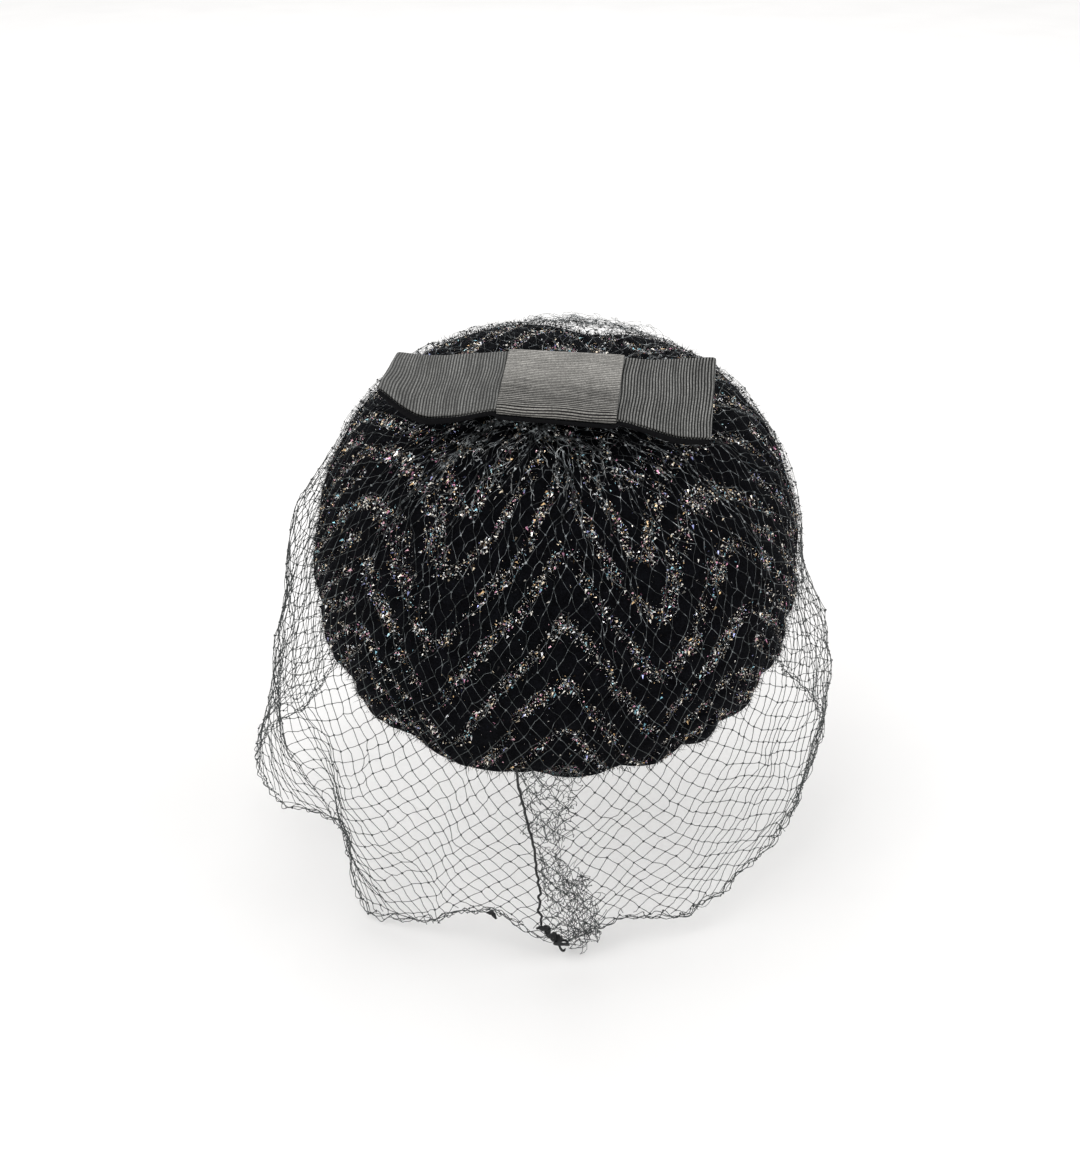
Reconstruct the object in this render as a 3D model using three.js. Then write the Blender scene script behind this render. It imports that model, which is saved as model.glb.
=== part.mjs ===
// A small round cocktail cap of striped velvet, worn tilted on the back of the crown, with a flat
// tailored ribbon bow near its top and a full round net veil gathered under the bow.
//
// Millimetres, +Z up. The wearer faces -Y. The origin is the point inside the cap where its own axis
// meets the head.

import * as THREE from 'three';
import { mergeVertices } from 'three/addons/utils/BufferGeometryUtils.js';

// ------------------------------------------------------------------ driving dimensions

const GAP = 0.35; // between pieces that lie on each other

const CAP = {
  radius: 84.5, // outside, at the rim
  depth: 70, // outside, rim plane to pole
  wall: 2.5, // velvet on its stiff base
  tilt: 36, // degrees that the cap's axis leans back
  notchDepth: 2.6, // between the soft lobes of the rim
  notchFade: 7, // power of the fade from rim to crown
  square: 0.032, // how much fuller the round is between back, sides and front
  fuller: 0.02, // swell of the crown on one side, as a share of its radius
  fullerAround: -112, // degrees round from the back
  fullerFromPole: 75,
  fullerSpread: 7,
};

// Degrees round from the centre back at which the rim is drawn in between two lobes.
const NOTCHES = [5, 35, 55, 75, 95, 115, 135, 155, 175, 195, 215, 235, 255, 275, 290, 305, 320, 330,
  345];

const VEIL = {
  wall: 1.0, // outer form of the net
  clear: 1.4, // from the cap
  gatherHalfLength: 14, // the net is gathered to a short line under the bow
  gatherHalfWidth: 5,
  bunch: 3, // height of the bunched net in the middle of the gather; it lifts the bow's back edge
  bunchSpread: 0.11, // its size, as a share of the way down the cap
  gatherEnd: 0.12, // share of the way down the cap at which the gather's line has opened out
  crowding: 1.3, // power that crowds the rings towards the gather
  axisForward: 29, // the hem's vertical axis lies this far in front of the rim's centre
  rise: 38, // height of the lower handle above the hem
};

// The hem, every 15 degrees round from the centre back towards the wearer's +X side.
// leave: angle from the cap's pole where the net leaves the cap; spring: how far it goes on straight
// from there; belly: reach of the curve's lower handle; reach: hem from its vertical axis; level:
// height of the hem from the rim's centre.
const HEM = [
  { leave: 60, spring: 38, belly: 101, reach: 93, level: -121 },
  { leave: 60, spring: 38, belly: 103, reach: 94, level: -110 },
  { leave: 61, spring: 38, belly: 99, reach: 93, level: -122 },
  { leave: 58, spring: 44, belly: 104, reach: 99, level: -125 },
  { leave: 54, spring: 56, belly: 98, reach: 93, level: -105 },
  { leave: 48, spring: 62, belly: 104, reach: 111, level: -105 },
  { leave: 46, spring: 60, belly: 103, reach: 117, level: -99 },
  { leave: 56, spring: 52, belly: 101, reach: 104, level: -96 },
  { leave: 74, spring: 38, belly: 106, reach: 106, level: -94 },
  { leave: 82, spring: 38, belly: 99, reach: 97, level: -86 },
  { leave: 86, spring: 38, belly: 104, reach: 103, level: -85 },
  { leave: 88, spring: 38, belly: 98, reach: 95, level: -79 },
  { leave: 88, spring: 38, belly: 103, reach: 101, level: -81 },
  { leave: 88, spring: 38, belly: 98, reach: 96, level: -79 },
  { leave: 87, spring: 38, belly: 103, reach: 102, level: -84 },
  { leave: 86, spring: 38, belly: 98, reach: 96, level: -83 },
  { leave: 84, spring: 38, belly: 106, reach: 104, level: -89 },
  { leave: 82, spring: 38, belly: 107, reach: 100, level: -84 },
  { leave: 80, spring: 38, belly: 112, reach: 106, level: -87 },
  { leave: 78, spring: 38, belly: 108, reach: 100, level: -97 },
  { leave: 74, spring: 38, belly: 104, reach: 98, level: -105 },
  { leave: 68, spring: 38, belly: 102, reach: 96, level: -111 },
  { leave: 63, spring: 38, belly: 102, reach: 95, level: -118 },
  { leave: 61, spring: 38, belly: 99, reach: 92, level: -115 },
];

const BOW = {
  forward: 17, // centre, in front of the cap's axis
  side: -1.5, // centre, towards -X
  width: 32, // grosgrain ribbon
  ribbon: 1,
  bandLength: 37.5,
  turn: -6.5, // degrees about its own normal
  lean: 18, // degrees that it leans forward of the crown's slope
  standOff: 4.3, // of its middle from the smooth net, on the bunched gather
  loopRise: 1.9, // half height of a loop between band and end
  endRise: 1.1, // half height of the fold at an end
  insideBand: 0.25, // half gap between the two layers under the band
};

// Each end of the bow: its distance from the middle, and against a flat bow its turn about the bow's
// length, drop and backward shift.
const BOW_ENDS = {
  plusX: { reach: 56.5, twist: 20, drop: 1.5, back: -3 },
  minusX: { reach: 48.5, twist: -15, drop: 1, back: -1 },
};

const SEAM = { radius: 0.6, from: 8, to: 2.5, start: 0.57, end: 0.97 };
const HEM_THREAD = { radius: 0.9, steps: 90, sides: 6 };
const RUFFLE = { wall: 1.0, start: 0.76, end: 0.955, width: 15, pleats: 3, pleatDepth: 2.6 };
const KNOTS = {
  seam: { around: 0.5, rise: 2, size: [4.2, 2.6, 4.6], lumps: 0.22 },
  hem: { around: 13.5, rise: 1, size: [2.0, 1.5, 1.7], lumps: 0.12 },
};
const COMB = { seat: 2.4, teeth: 12, pitch: 4, bar: 6, tooth: 26, toothWidth: 1.8, thick: 1.6, fromRim: 8 };

const GRID = { around: 72, capOutside: 12, capInside: 8, veilOnCap: 8, veilFree: 10 };

const COLOUR = {
  velvet: 0x111113,
  net: 0x2b302f,
  ribbon: 0x5b5b59,
  band: 0x73716c,
  thread: 0x16181a,
  comb: 0x1c1a19,
};

// ------------------------------------------------------------------ small helpers

const rad = THREE.MathUtils.degToRad;
const vec = (x, y, z) => new THREE.Vector3(x, y, z);
const X_AXIS = vec(1, 0, 0);

// Cap coordinates have +Z along the cap's axis and +Y down its back; this turns them upright.
const upright = (point) => point.clone().applyAxisAngle(X_AXIS, -rad(CAP.tilt));

// Unit direction at an angle round the cap, from the back, and an angle from its pole.
function direction(around, fromPole) {
  const side = Math.sin(fromPole);
  return vec(Math.sin(around) * side, Math.cos(around) * side, Math.cos(fromPole));
}

const FULLER = direction(rad(CAP.fullerAround), rad(CAP.fullerFromPole));

// Point on the cap's dome, or `out` from it, for a direction on the unit sphere.
function onDome(toward, out) {
  const { radius, depth } = CAP;
  const flat = toward.x ** 2 + toward.y ** 2;
  const corner = flat > 0 ? (4 * toward.x ** 2 * toward.y ** 2) / flat : 0;
  const swell = 1 + CAP.square * corner
    + CAP.fuller * Math.max(0, toward.dot(FULLER)) ** CAP.fullerSpread;
  const point = vec(toward.x * radius, toward.y * radius, toward.z * depth).multiplyScalar(swell);
  const normal = vec(toward.x / radius, toward.y / radius, toward.z / depth).normalize();
  return upright(point.addScaledVector(normal, out));
}

// A closed mesh from a list of corners and a list of quads or triangles given by corner number.
function solid(corners, faces) {
  const geometry = new THREE.BufferGeometry();
  const flat = corners.flatMap((corner) => [corner.x, corner.y, corner.z]);
  const triangles = faces.flatMap((face) => (face.length === 3
    ? face
    : [face[0], face[1], face[2], face[0], face[2], face[3]]));
  geometry.setAttribute('position', new THREE.Float32BufferAttribute(flat, 3));
  geometry.setIndex(triangles);
  geometry.computeVertexNormals();
  return geometry;
}

// A bowl-shaped wall: two surfaces from a pole down to an open edge, joined round that edge.
// outside(i, t) and inside(i, t) give points; i counts round, t goes from 0 at the pole to 1.
function bowl(around, outside, outsideRings, inside, insideRings) {
  const corners = [];
  const faces = [];
  const layer = (surface, rings, outward) => {
    const pole = corners.push(surface(0, 0)) - 1;
    const first = corners.length;
    for (let ring = 1; ring <= rings; ring += 1) {
      for (let i = 0; i < around; i += 1) corners.push(surface(i, ring / rings));
    }
    const at = (ring, i) => first + (ring - 1) * around + (i % around);
    for (let i = 0; i < around; i += 1) {
      faces.push(outward ? [pole, at(1, i + 1), at(1, i)] : [pole, at(1, i), at(1, i + 1)]);
      for (let ring = 1; ring < rings; ring += 1) {
        const quad = [at(ring, i), at(ring, i + 1), at(ring + 1, i + 1), at(ring + 1, i)];
        faces.push(outward ? quad : quad.reverse());
      }
    }
    return (i) => at(rings, i);
  };
  const outerEdge = layer(outside, outsideRings, true);
  const innerEdge = layer(inside, insideRings, false);
  for (let i = 0; i < around; i += 1) {
    faces.push([outerEdge(i), outerEdge(i + 1), innerEdge(i + 1), innerEdge(i)]);
  }
  return solid(corners, faces);
}

// A band closed on itself: point(i, j) with i round its loop and j round its cross-section.
function ring(loop, section, point) {
  const corners = [];
  const faces = [];
  for (let i = 0; i < loop; i += 1) {
    for (let j = 0; j < section; j += 1) corners.push(point(i, j));
  }
  const at = (i, j) => (i % loop) * section + (j % section);
  for (let i = 0; i < loop; i += 1) {
    for (let j = 0; j < section; j += 1) {
      faces.push([at(i, j), at(i + 1, j), at(i + 1, j + 1), at(i, j + 1)]);
    }
  }
  return solid(corners, faces);
}

function piece(name, geometry, color, roughness) {
  const mesh = new THREE.Mesh(
    geometry,
    new THREE.MeshStandardMaterial({ color, roughness, metalness: 0 }),
  );
  mesh.name = name;
  return mesh;
}

// ------------------------------------------------------------------ cap

// Radial factor of the scalloped rim; it fades out towards the crown.
function scallop(degrees, t) {
  const next = NOTCHES.findIndex((notch) => notch > degrees);
  const after = next < 0 ? NOTCHES[0] + 360 : NOTCHES[next];
  const before = next > 0 ? NOTCHES[next - 1] : NOTCHES.at(-1) - (next === 0 ? 360 : 0);
  const lobe = Math.sin((Math.PI * (degrees - before)) / (after - before));
  return 1 - (CAP.notchDepth / CAP.radius) * (1 - lobe) * t ** CAP.notchFade;
}

function cap() {
  const wallSurface = (out) => (i, t) => {
    const degrees = (i / GRID.around) * 360;
    const toward = direction(rad(degrees), (t * Math.PI) / 2);
    const drawnIn = scallop(degrees, t);
    toward.x *= drawnIn;
    toward.y *= drawnIn;
    return onDome(toward, out);
  };
  return bowl(GRID.around, wallSurface(0), GRID.capOutside, wallSurface(-CAP.wall), GRID.capInside);
}

// ------------------------------------------------------------------ veil

const GATHER = direction(Math.PI, Math.asin(BOW.forward / CAP.radius));

// Value of one column of the hem table at any angle, on a smooth curve through its rows.
function hemValue(column, around) {
  const place = THREE.MathUtils.euclideanModulo((around / (2 * Math.PI)) * HEM.length, HEM.length);
  const row = Math.floor(place);
  const f = place - row;
  const value = (k) => HEM[(row + k + HEM.length) % HEM.length][column];
  const [a, b, c, d] = [value(-1), value(0), value(1), value(2)];
  return b + 0.5 * f * (c - a + f * (2 * a - 5 * b + 4 * c - d + f * (3 * (b - c) + d - a)));
}

function upOnAxis(around, reach, level) {
  return vec(Math.sin(around) * reach, Math.cos(around) * reach - VEIL.axisForward, level);
}

const SHARE_ON_CAP = GRID.veilOnCap / (GRID.veilOnCap + GRID.veilFree);

// How far the gather's short line has opened out, from 0 at its middle.
const opened = (share) => Math.min(1, share / VEIL.gatherEnd);

// Direction from the gather towards where the net leaves the cap, along the shortest way.
function alongCap(around, share) {
  const leave = direction(around, rad(hemValue('leave', around)));
  const startAt = GATHER.clone();
  startAt.x += (VEIL.gatherHalfLength / CAP.radius) * Math.sin(around) * opened(share);
  startAt.y += (VEIL.gatherHalfWidth / CAP.radius) * Math.cos(around) * opened(share);
  startAt.normalize();
  const angle = startAt.angleTo(leave);
  return startAt.multiplyScalar(Math.sin((1 - share) * angle) / Math.sin(angle))
    .addScaledVector(leave, Math.sin(share * angle) / Math.sin(angle));
}

// Middle of the net's wall: t runs from 0 at the gather to 1 at the hem.
function netPoint(around, t, out = 0) {
  const onCap = (share) => {
    const toBack = 1 - opened(share) * (1 - Math.cos(around)) * 0.5;
    const bunch = VEIL.bunch * toBack * Math.exp(-((share / VEIL.bunchSpread) ** 2));
    return onDome(alongCap(around, share), VEIL.clear + VEIL.wall / 2 + bunch + out);
  };
  if (t <= SHARE_ON_CAP) return onCap((t / SHARE_ON_CAP) ** VEIL.crowding);
  const start = onCap(1);
  const tangent = start.clone().sub(onCap(0.99)).normalize();
  const level = hemValue('level', around);
  const route = new THREE.CubicBezierCurve3(
    start,
    start.clone().addScaledVector(tangent, hemValue('spring', around)),
    upOnAxis(around, hemValue('belly', around), level + VEIL.rise),
    upOnAxis(around, hemValue('reach', around), level),
  );
  return route.getPoint((t - SHARE_ON_CAP) / (1 - SHARE_ON_CAP));
}

// Outward normal of the net, from its neighbours round and along.
function netNormal(around, t) {
  const step = 0.01;
  const low = Math.max(t - step, 0.002);
  const high = Math.min(t + step, 1);
  const round = netPoint(around + step, t).sub(netPoint(around - step, t));
  const along = netPoint(around, high).sub(netPoint(around, low));
  return round.cross(along).normalize();
}

function netOffset(around, t, out) {
  if (t <= SHARE_ON_CAP) return netPoint(around, t, out);
  return netPoint(around, t).addScaledVector(netNormal(around, t), out);
}

function veil() {
  const rings = GRID.veilOnCap + GRID.veilFree;
  const face = (out) => (i, t) => netOffset((i / GRID.around) * 2 * Math.PI, t, out);
  return bowl(GRID.around, face(VEIL.wall / 2), rings, face(-VEIL.wall / 2), rings);
}

// The gathered edge of the net, just under the hem.
function hemThread() {
  const { radius, steps, sides } = HEM_THREAD;
  return ring(steps, sides, (i, j) => {
    const around = (i / steps) * 2 * Math.PI;
    const centre = netPoint(around, 1);
    centre.z -= radius + 3 * GAP;
    const outward = vec(Math.sin(around), Math.cos(around), 0);
    const turn = (-j / sides) * 2 * Math.PI;
    centre.addScaledVector(outward, radius * Math.cos(turn));
    centre.z += radius * Math.sin(turn);
    return centre;
  });
}

// Dark drawing thread down the back seam, on the outside of the net.
function seamThread() {
  const count = 14;
  const points = Array.from({ length: count }, (_, k) => {
    const share = k / (count - 1);
    const around = rad(THREE.MathUtils.lerp(SEAM.from, SEAM.to, share));
    const t = THREE.MathUtils.lerp(SEAM.start, SEAM.end, share);
    return netOffset(around, t, VEIL.wall / 2 + GAP + SEAM.radius);
  });
  const section = new THREE.Shape();
  section.absarc(0, 0, SEAM.radius, 0, 2 * Math.PI);
  const tube = new THREE.ExtrudeGeometry(section, {
    steps: 28,
    curveSegments: 4,
    extrudePath: new THREE.CatmullRomCurve3(points),
    bevelEnabled: false,
  });
  return tube;
}

// Crumpled end of the net beside the seam: a pleated sheet, narrow above and full at the hem.
function ruffle() {
  const rows = 8;
  const columns = 4 * RUFFLE.pleats;
  const sheet = (out) => (row, column) => {
    const share = row / rows;
    const t = THREE.MathUtils.lerp(RUFFLE.start, RUFFLE.end, share);
    const seam = rad(THREE.MathUtils.lerp(SEAM.from, SEAM.to, (t - SEAM.start) / (SEAM.end - SEAM.start)));
    const width = THREE.MathUtils.lerp(3, RUFFLE.width, share);
    const across = (column / columns) * width + SEAM.radius + 1.2;
    const around = seam - across / HEM[0].reach;
    const wave = 0.5 - 0.5 * Math.cos((column / columns) * RUFFLE.pleats * 2 * Math.PI);
    const stand = VEIL.wall / 2 + GAP + RUFFLE.wall / 2 + 0.1 + wave * share * RUFFLE.pleatDepth;
    return netOffset(around, t, stand + out);
  };
  const corners = [];
  const faces = [];
  const layers = [sheet(RUFFLE.wall / 2), sheet(-RUFFLE.wall / 2)].map((surface) => {
    const first = corners.length;
    for (let row = 0; row <= rows; row += 1) {
      for (let column = 0; column <= columns; column += 1) corners.push(surface(row, column));
    }
    return (row, column) => first + row * (columns + 1) + column;
  });
  const [front, back] = layers;
  for (let row = 0; row < rows; row += 1) {
    for (let column = 0; column < columns; column += 1) {
      const quad = (at) => [at(row, column), at(row + 1, column), at(row + 1, column + 1),
        at(row, column + 1)];
      faces.push(quad(front), quad(back).reverse());
    }
    faces.push([front(row + 1, 0), front(row, 0), back(row, 0), back(row + 1, 0)]);
    faces.push([front(row, columns), front(row + 1, columns), back(row + 1, columns),
      back(row, columns)]);
  }
  for (let column = 0; column < columns; column += 1) {
    faces.push([front(0, column), front(0, column + 1), back(0, column + 1), back(0, column)]);
    faces.push([front(rows, column + 1), front(rows, column), back(rows, column),
      back(rows, column + 1)]);
  }
  return solid(corners, faces);
}

// A lumpy knot standing just outside the hem's thread.
function knot({ around, rise, size, lumps }) {
  const angle = rad(around);
  const centre = netPoint(angle, 1);
  const [half, deep, tall] = size;
  centre.y += HEM_THREAD.radius + GAP + deep;
  centre.z += rise - HEM_THREAD.radius;
  const ball = mergeVertices(stripped(new THREE.IcosahedronGeometry(1, 2)));
  const spots = ball.getAttribute('position');
  for (let k = 0; k < spots.count; k += 1) {
    const spot = vec(0, 0, 0).fromBufferAttribute(spots, k);
    const swell = 1 + lumps * Math.sin(3 * spot.x + 2 * spot.z) * Math.cos(4 * spot.z - spot.x);
    spots.setXYZ(
      k,
      centre.x + spot.x * half * swell,
      centre.y + spot.y * deep * swell,
      centre.z + spot.z * tall * swell,
    );
  }
  return ball;
}

function stripped(geometry) {
  geometry.deleteAttribute('normal');
  geometry.deleteAttribute('uv');
  return geometry;
}

// ------------------------------------------------------------------ bow

// Height of the ribbon's bottom face over the dome, in the middle of the bow.
const BAND_FLOOR = VEIL.clear + VEIL.wall + GAP + BOW.standOff;
const RIBBON_FLOOR = BAND_FLOOR + BOW.ribbon + GAP;
const HALF_STACK = BOW.ribbon + BOW.insideBand;
const BAND_END = BOW.bandLength / 2 + 1;

// From the flat bow's own coordinates, x along it, v across the ribbon and n through it, to its
// place: the two ends are twisted, dropped and shifted, then the whole lies on the crown.
function onBow(x, v, n) {
  const end = x > 0 ? BOW_ENDS.plusX : BOW_ENDS.minusX;
  const ease = THREE.MathUtils.smoothstep(Math.abs(x), BAND_END, end.reach) ** 1.5;
  const twist = rad(end.twist * ease);
  const point = vec(
    x,
    v * Math.cos(twist) - n * Math.sin(twist) + end.back * ease,
    v * Math.sin(twist) + n * Math.cos(twist) - end.drop * ease,
  );
  point.applyAxisAngle(vec(0, 0, 1), rad(BOW.turn));
  const slope = Math.atan2(BOW.forward / CAP.radius ** 2, GATHER.z / CAP.depth);
  point.applyAxisAngle(X_AXIS, slope + rad(BOW.lean));
  point.add(vec(BOW.side, -BOW.forward, GATHER.z * CAP.depth));
  point.addScaledVector(vec(0, -Math.sin(slope), Math.cos(slope)), RIBBON_FLOOR + HALF_STACK);
  return upright(point);
}

// Half height of the flattened loop of ribbon, to the middle of its wall; share runs from 0 at the
// band to 1 at the end.
function loopRise(share) {
  const swell = Math.sin(Math.min(share * 1.25, 1) * Math.PI * 0.5) ** 2;
  const low = BOW.insideBand + BOW.ribbon / 2;
  return THREE.MathUtils.lerp(low, BOW.loopRise, swell) - share ** 4 * (BOW.loopRise - BOW.endRise);
}

function bowRibbon() {
  const stepsLoop = 8;
  const stepsBand = 4;
  const stepsFold = 5;
  const loop = [];
  // One half of the ribbon's way round, from the middle of one face to that of the other.
  const halfLoop = (side, face, reach) => {
    const foldStart = reach - BOW.endRise;
    const layer = (up) => {
      const spots = [];
      for (let k = 0; k < stepsBand; k += 1) spots.push({ x: (k / stepsBand) * BAND_END, n: loopRise(0) });
      for (let k = 0; k <= stepsLoop; k += 1) {
        const share = k / stepsLoop;
        spots.push({ x: THREE.MathUtils.lerp(BAND_END, foldStart, share), n: loopRise(share) });
      }
      return spots.map(({ x, n }) => ({ x: side * x, n: up * n, nx: 0, nn: up }));
    };
    loop.push(...layer(face));
    for (let k = 1; k < stepsFold; k += 1) {
      const turn = Math.PI / 2 - (k / stepsFold) * Math.PI;
      const [nx, nn] = [side * Math.cos(turn), face * Math.sin(turn)];
      loop.push({ x: side * foldStart + nx * BOW.endRise, n: nn * BOW.endRise, nx, nn });
    }
    loop.push(...layer(-face).slice(1).reverse());
  };
  halfLoop(1, 1, BOW_ENDS.plusX.reach);
  halfLoop(-1, -1, BOW_ENDS.minusX.reach);
  const across = [-0.5, -0.25, 0, 0.25, 0.5];
  const section = [...across.map((v) => ({ v, out: 0.5 })),
    ...across.map((v) => ({ v: -v, out: -0.5 }))];
  return ring(loop.length, section.length, (i, j) => {
    const { x, n, nx, nn } = loop[i];
    const { v, out } = section[j];
    return onBow(x + nx * out * BOW.ribbon, v * BOW.width, n + nn * out * BOW.ribbon);
  });
}

function bowBand() {
  const halfWidth = BOW.width / 2 + GAP;
  const halfRise = HALF_STACK + GAP;
  const bend = 1.2;
  const rounded = (grow) => {
    const outline = [];
    const corner = (v, n, from) => {
      for (let k = 0; k <= 3; k += 1) {
        const turn = from + (k / 3) * (Math.PI / 2);
        outline.push([v + (bend + grow) * Math.cos(turn), n + (bend + grow) * Math.sin(turn)]);
      }
    };
    const [v, n] = [halfWidth, halfRise - bend];
    corner(v, n, 0);
    corner(-v, n, Math.PI / 2);
    corner(-v, -n, Math.PI);
    corner(v, -n, 1.5 * Math.PI);
    return outline;
  };
  const inner = rounded(0);
  const outer = rounded(BOW.ribbon);
  const places = [-0.5, -0.25, 0, 0.25, 0.5];
  const section = [...places.map((x) => ({ x, outline: outer })),
    ...places.map((x) => ({ x: -x, outline: inner }))];
  return ring(inner.length, section.length, (i, j) => {
    const { x, outline } = section[j];
    const [v, n] = outline[i];
    return onBow(x * BOW.bandLength, v, n);
  });
}

// ------------------------------------------------------------------ hair comb

// A plain comb sewn inside the front edge, its teeth up the inside of the dome.
function hairComb() {
  const width = COMB.teeth * COMB.pitch;
  const outline = new THREE.Shape();
  outline.moveTo(-width / 2, 0);
  outline.lineTo(width / 2, 0);
  for (let tooth = COMB.teeth - 1; tooth >= 0; tooth -= 1) {
    const middle = (tooth + 0.5) * COMB.pitch - width / 2;
    outline.lineTo(middle + COMB.pitch / 2, COMB.bar);
    outline.lineTo(middle + COMB.toothWidth / 2, COMB.bar + 0.8);
    outline.lineTo(middle + COMB.toothWidth / 4, COMB.bar + COMB.tooth);
    outline.lineTo(middle - COMB.toothWidth / 4, COMB.bar + COMB.tooth);
    outline.lineTo(middle - COMB.toothWidth / 2, COMB.bar + 0.8);
  }
  outline.lineTo(-width / 2, COMB.bar);
  const flat = mergeVertices(stripped(new THREE.ExtrudeGeometry(outline, {
    depth: COMB.thick,
    bevelEnabled: false,
  })));
  const spots = flat.getAttribute('position');
  for (let k = 0; k < spots.count; k += 1) {
    const around = Math.PI - spots.getX(k) / (CAP.radius - CAP.wall);
    const fromPole = Math.PI / 2 - (COMB.fromRim + spots.getY(k)) / CAP.depth;
    const depthIn = CAP.wall + GAP + COMB.seat + COMB.thick - spots.getZ(k);
    const spot = onDome(direction(around, fromPole), -depthIn);
    spots.setXYZ(k, spot.x, spot.y, spot.z);
  }
  return flat;
}

// ------------------------------------------------------------------ assembly

const fascinator = new THREE.Group();
fascinator.add(
  piece('cap', cap(), COLOUR.velvet, 0.95),
  piece('veil', veil(), COLOUR.net, 0.8),
  piece('veil_ruffle', ruffle(), COLOUR.net, 0.8),
  piece('seam_thread', seamThread(), COLOUR.thread, 0.7),
  piece('hem_thread', hemThread(), COLOUR.net, 0.8),
  piece('seam_knot', knot(KNOTS.seam), COLOUR.thread, 0.7),
  piece('hem_knot', knot(KNOTS.hem), COLOUR.thread, 0.7),
  piece('bow_ribbon', bowRibbon(), COLOUR.ribbon, 0.6),
  piece('bow_band', bowBand(), COLOUR.band, 0.6),
  piece('hair_comb', hairComb(), COLOUR.comb, 0.4),
);
fascinator.position.copy(upright(vec(0, 0, CAP.wall - CAP.depth)));

export default fascinator;
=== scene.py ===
"""A fascinator: striped velvet cocktail cap, tailored grosgrain bow and a full gathered net veil."""

import math

import bpy
import numpy as np
from bpy.props import FloatProperty, FloatVectorProperty, IntProperty, PointerProperty
from mathutils import Matrix, Vector


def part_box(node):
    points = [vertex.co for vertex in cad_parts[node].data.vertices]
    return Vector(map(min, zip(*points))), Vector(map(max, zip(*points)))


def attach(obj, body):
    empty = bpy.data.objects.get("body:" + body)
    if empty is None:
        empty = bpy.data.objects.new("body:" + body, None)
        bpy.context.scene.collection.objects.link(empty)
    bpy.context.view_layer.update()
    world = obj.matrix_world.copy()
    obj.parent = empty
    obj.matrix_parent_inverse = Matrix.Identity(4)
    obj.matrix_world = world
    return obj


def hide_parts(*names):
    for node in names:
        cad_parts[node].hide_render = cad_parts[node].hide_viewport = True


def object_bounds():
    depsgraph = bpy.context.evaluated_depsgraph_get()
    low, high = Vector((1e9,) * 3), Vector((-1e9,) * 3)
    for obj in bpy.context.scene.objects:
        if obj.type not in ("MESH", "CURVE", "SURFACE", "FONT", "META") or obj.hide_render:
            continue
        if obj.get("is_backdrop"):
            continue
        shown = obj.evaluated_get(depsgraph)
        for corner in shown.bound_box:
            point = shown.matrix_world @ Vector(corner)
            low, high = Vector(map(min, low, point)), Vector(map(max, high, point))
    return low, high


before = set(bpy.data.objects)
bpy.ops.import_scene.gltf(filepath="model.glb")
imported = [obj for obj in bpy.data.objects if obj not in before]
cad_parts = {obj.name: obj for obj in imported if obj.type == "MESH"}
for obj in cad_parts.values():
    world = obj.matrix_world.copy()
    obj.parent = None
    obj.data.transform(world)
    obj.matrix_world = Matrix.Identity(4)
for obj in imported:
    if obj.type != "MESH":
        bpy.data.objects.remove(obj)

bl_info = {
    "name": "Velvet fascinator",
    "version": (1, 0, 0),
    "blender": (4, 5, 0),
    "location": "View3D > Sidebar > Fascinator",
    "description": "Makes a striped velvet cap with a flat bow and a gathered net veil",
    "category": "Add Mesh",
}

MM = 0.001
TURN = 2 * math.pi

# ------------------------------------------------------------------ sizes shared with the frame, mm

RADIUS = 84.5  # cap, outside at the rim
DEPTH = 70.0  # cap, rim plane to pole
WALL = 2.5  # velvet on its stiff base
TILT = math.radians(36)  # the cap's axis leans back by this
SQUARE = 0.032  # how far the cap is from round towards square, as a share of its radius
FULLER = 0.02  # it is a little fuller at one side, by this share
FULLER_SPREAD = 7
NOTCH_DEPTH = 2.6  # the rim is drawn in between its lobes
NOTCH_FADE = 7
# Where it is drawn in, in degrees round from the back.
NOTCHES = np.array([5, 35, 55, 75, 95, 115, 135, 155, 175, 195, 215, 235, 255, 275, 290, 305,
                    320, 330, 345], float)

NET_CLEAR = 1.0  # middle of the net over the crown's smooth form
GATHER_HALF_LENGTH = 14
GATHER_HALF_WIDTH = 5
BUNCH = 3.0  # the gathered net stands higher, and sinks to the crown over BUNCH_SPREAD
BUNCH_SPREAD = 0.11
GATHER_END = 0.12  # share of the way over the cap where the net has opened from its gather
CROWDING = 1.3  # rows lie closer near the gather
AXIS_FORWARD = 29  # the hem's middle is this far in front of the rim's
RISE = 38  # the belly of the free net is this far above the hem
SHARE_ON_CAP = 8 / 18  # of the net's way from gather to hem

# Every 15 degrees round from the centre back: where the net leaves the cap in degrees from the
# pole, how far it springs on, reach of its belly, reach of the hem, level of the hem.
HEM = np.array([
    (60, 38, 101, 93, -121), (60, 38, 103, 94, -110), (61, 38, 99, 93, -122),
    (58, 44, 104, 99, -125), (54, 56, 98, 93, -105), (48, 62, 104, 111, -105),
    (46, 60, 103, 117, -99), (56, 52, 101, 104, -96), (74, 38, 106, 106, -94),
    (82, 38, 99, 97, -86), (86, 38, 104, 103, -85), (88, 38, 98, 95, -79),
    (88, 38, 103, 101, -81), (88, 38, 98, 96, -79), (87, 38, 103, 102, -84),
    (86, 38, 98, 96, -83), (84, 38, 106, 104, -89), (82, 38, 107, 100, -84),
    (80, 38, 112, 106, -87), (78, 38, 108, 100, -97), (74, 38, 104, 98, -105),
    (68, 38, 102, 96, -111), (63, 38, 102, 95, -118), (61, 38, 99, 92, -115),
], float)
LEAVE, SPRING, BELLY, REACH, LEVEL = range(5)

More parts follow.
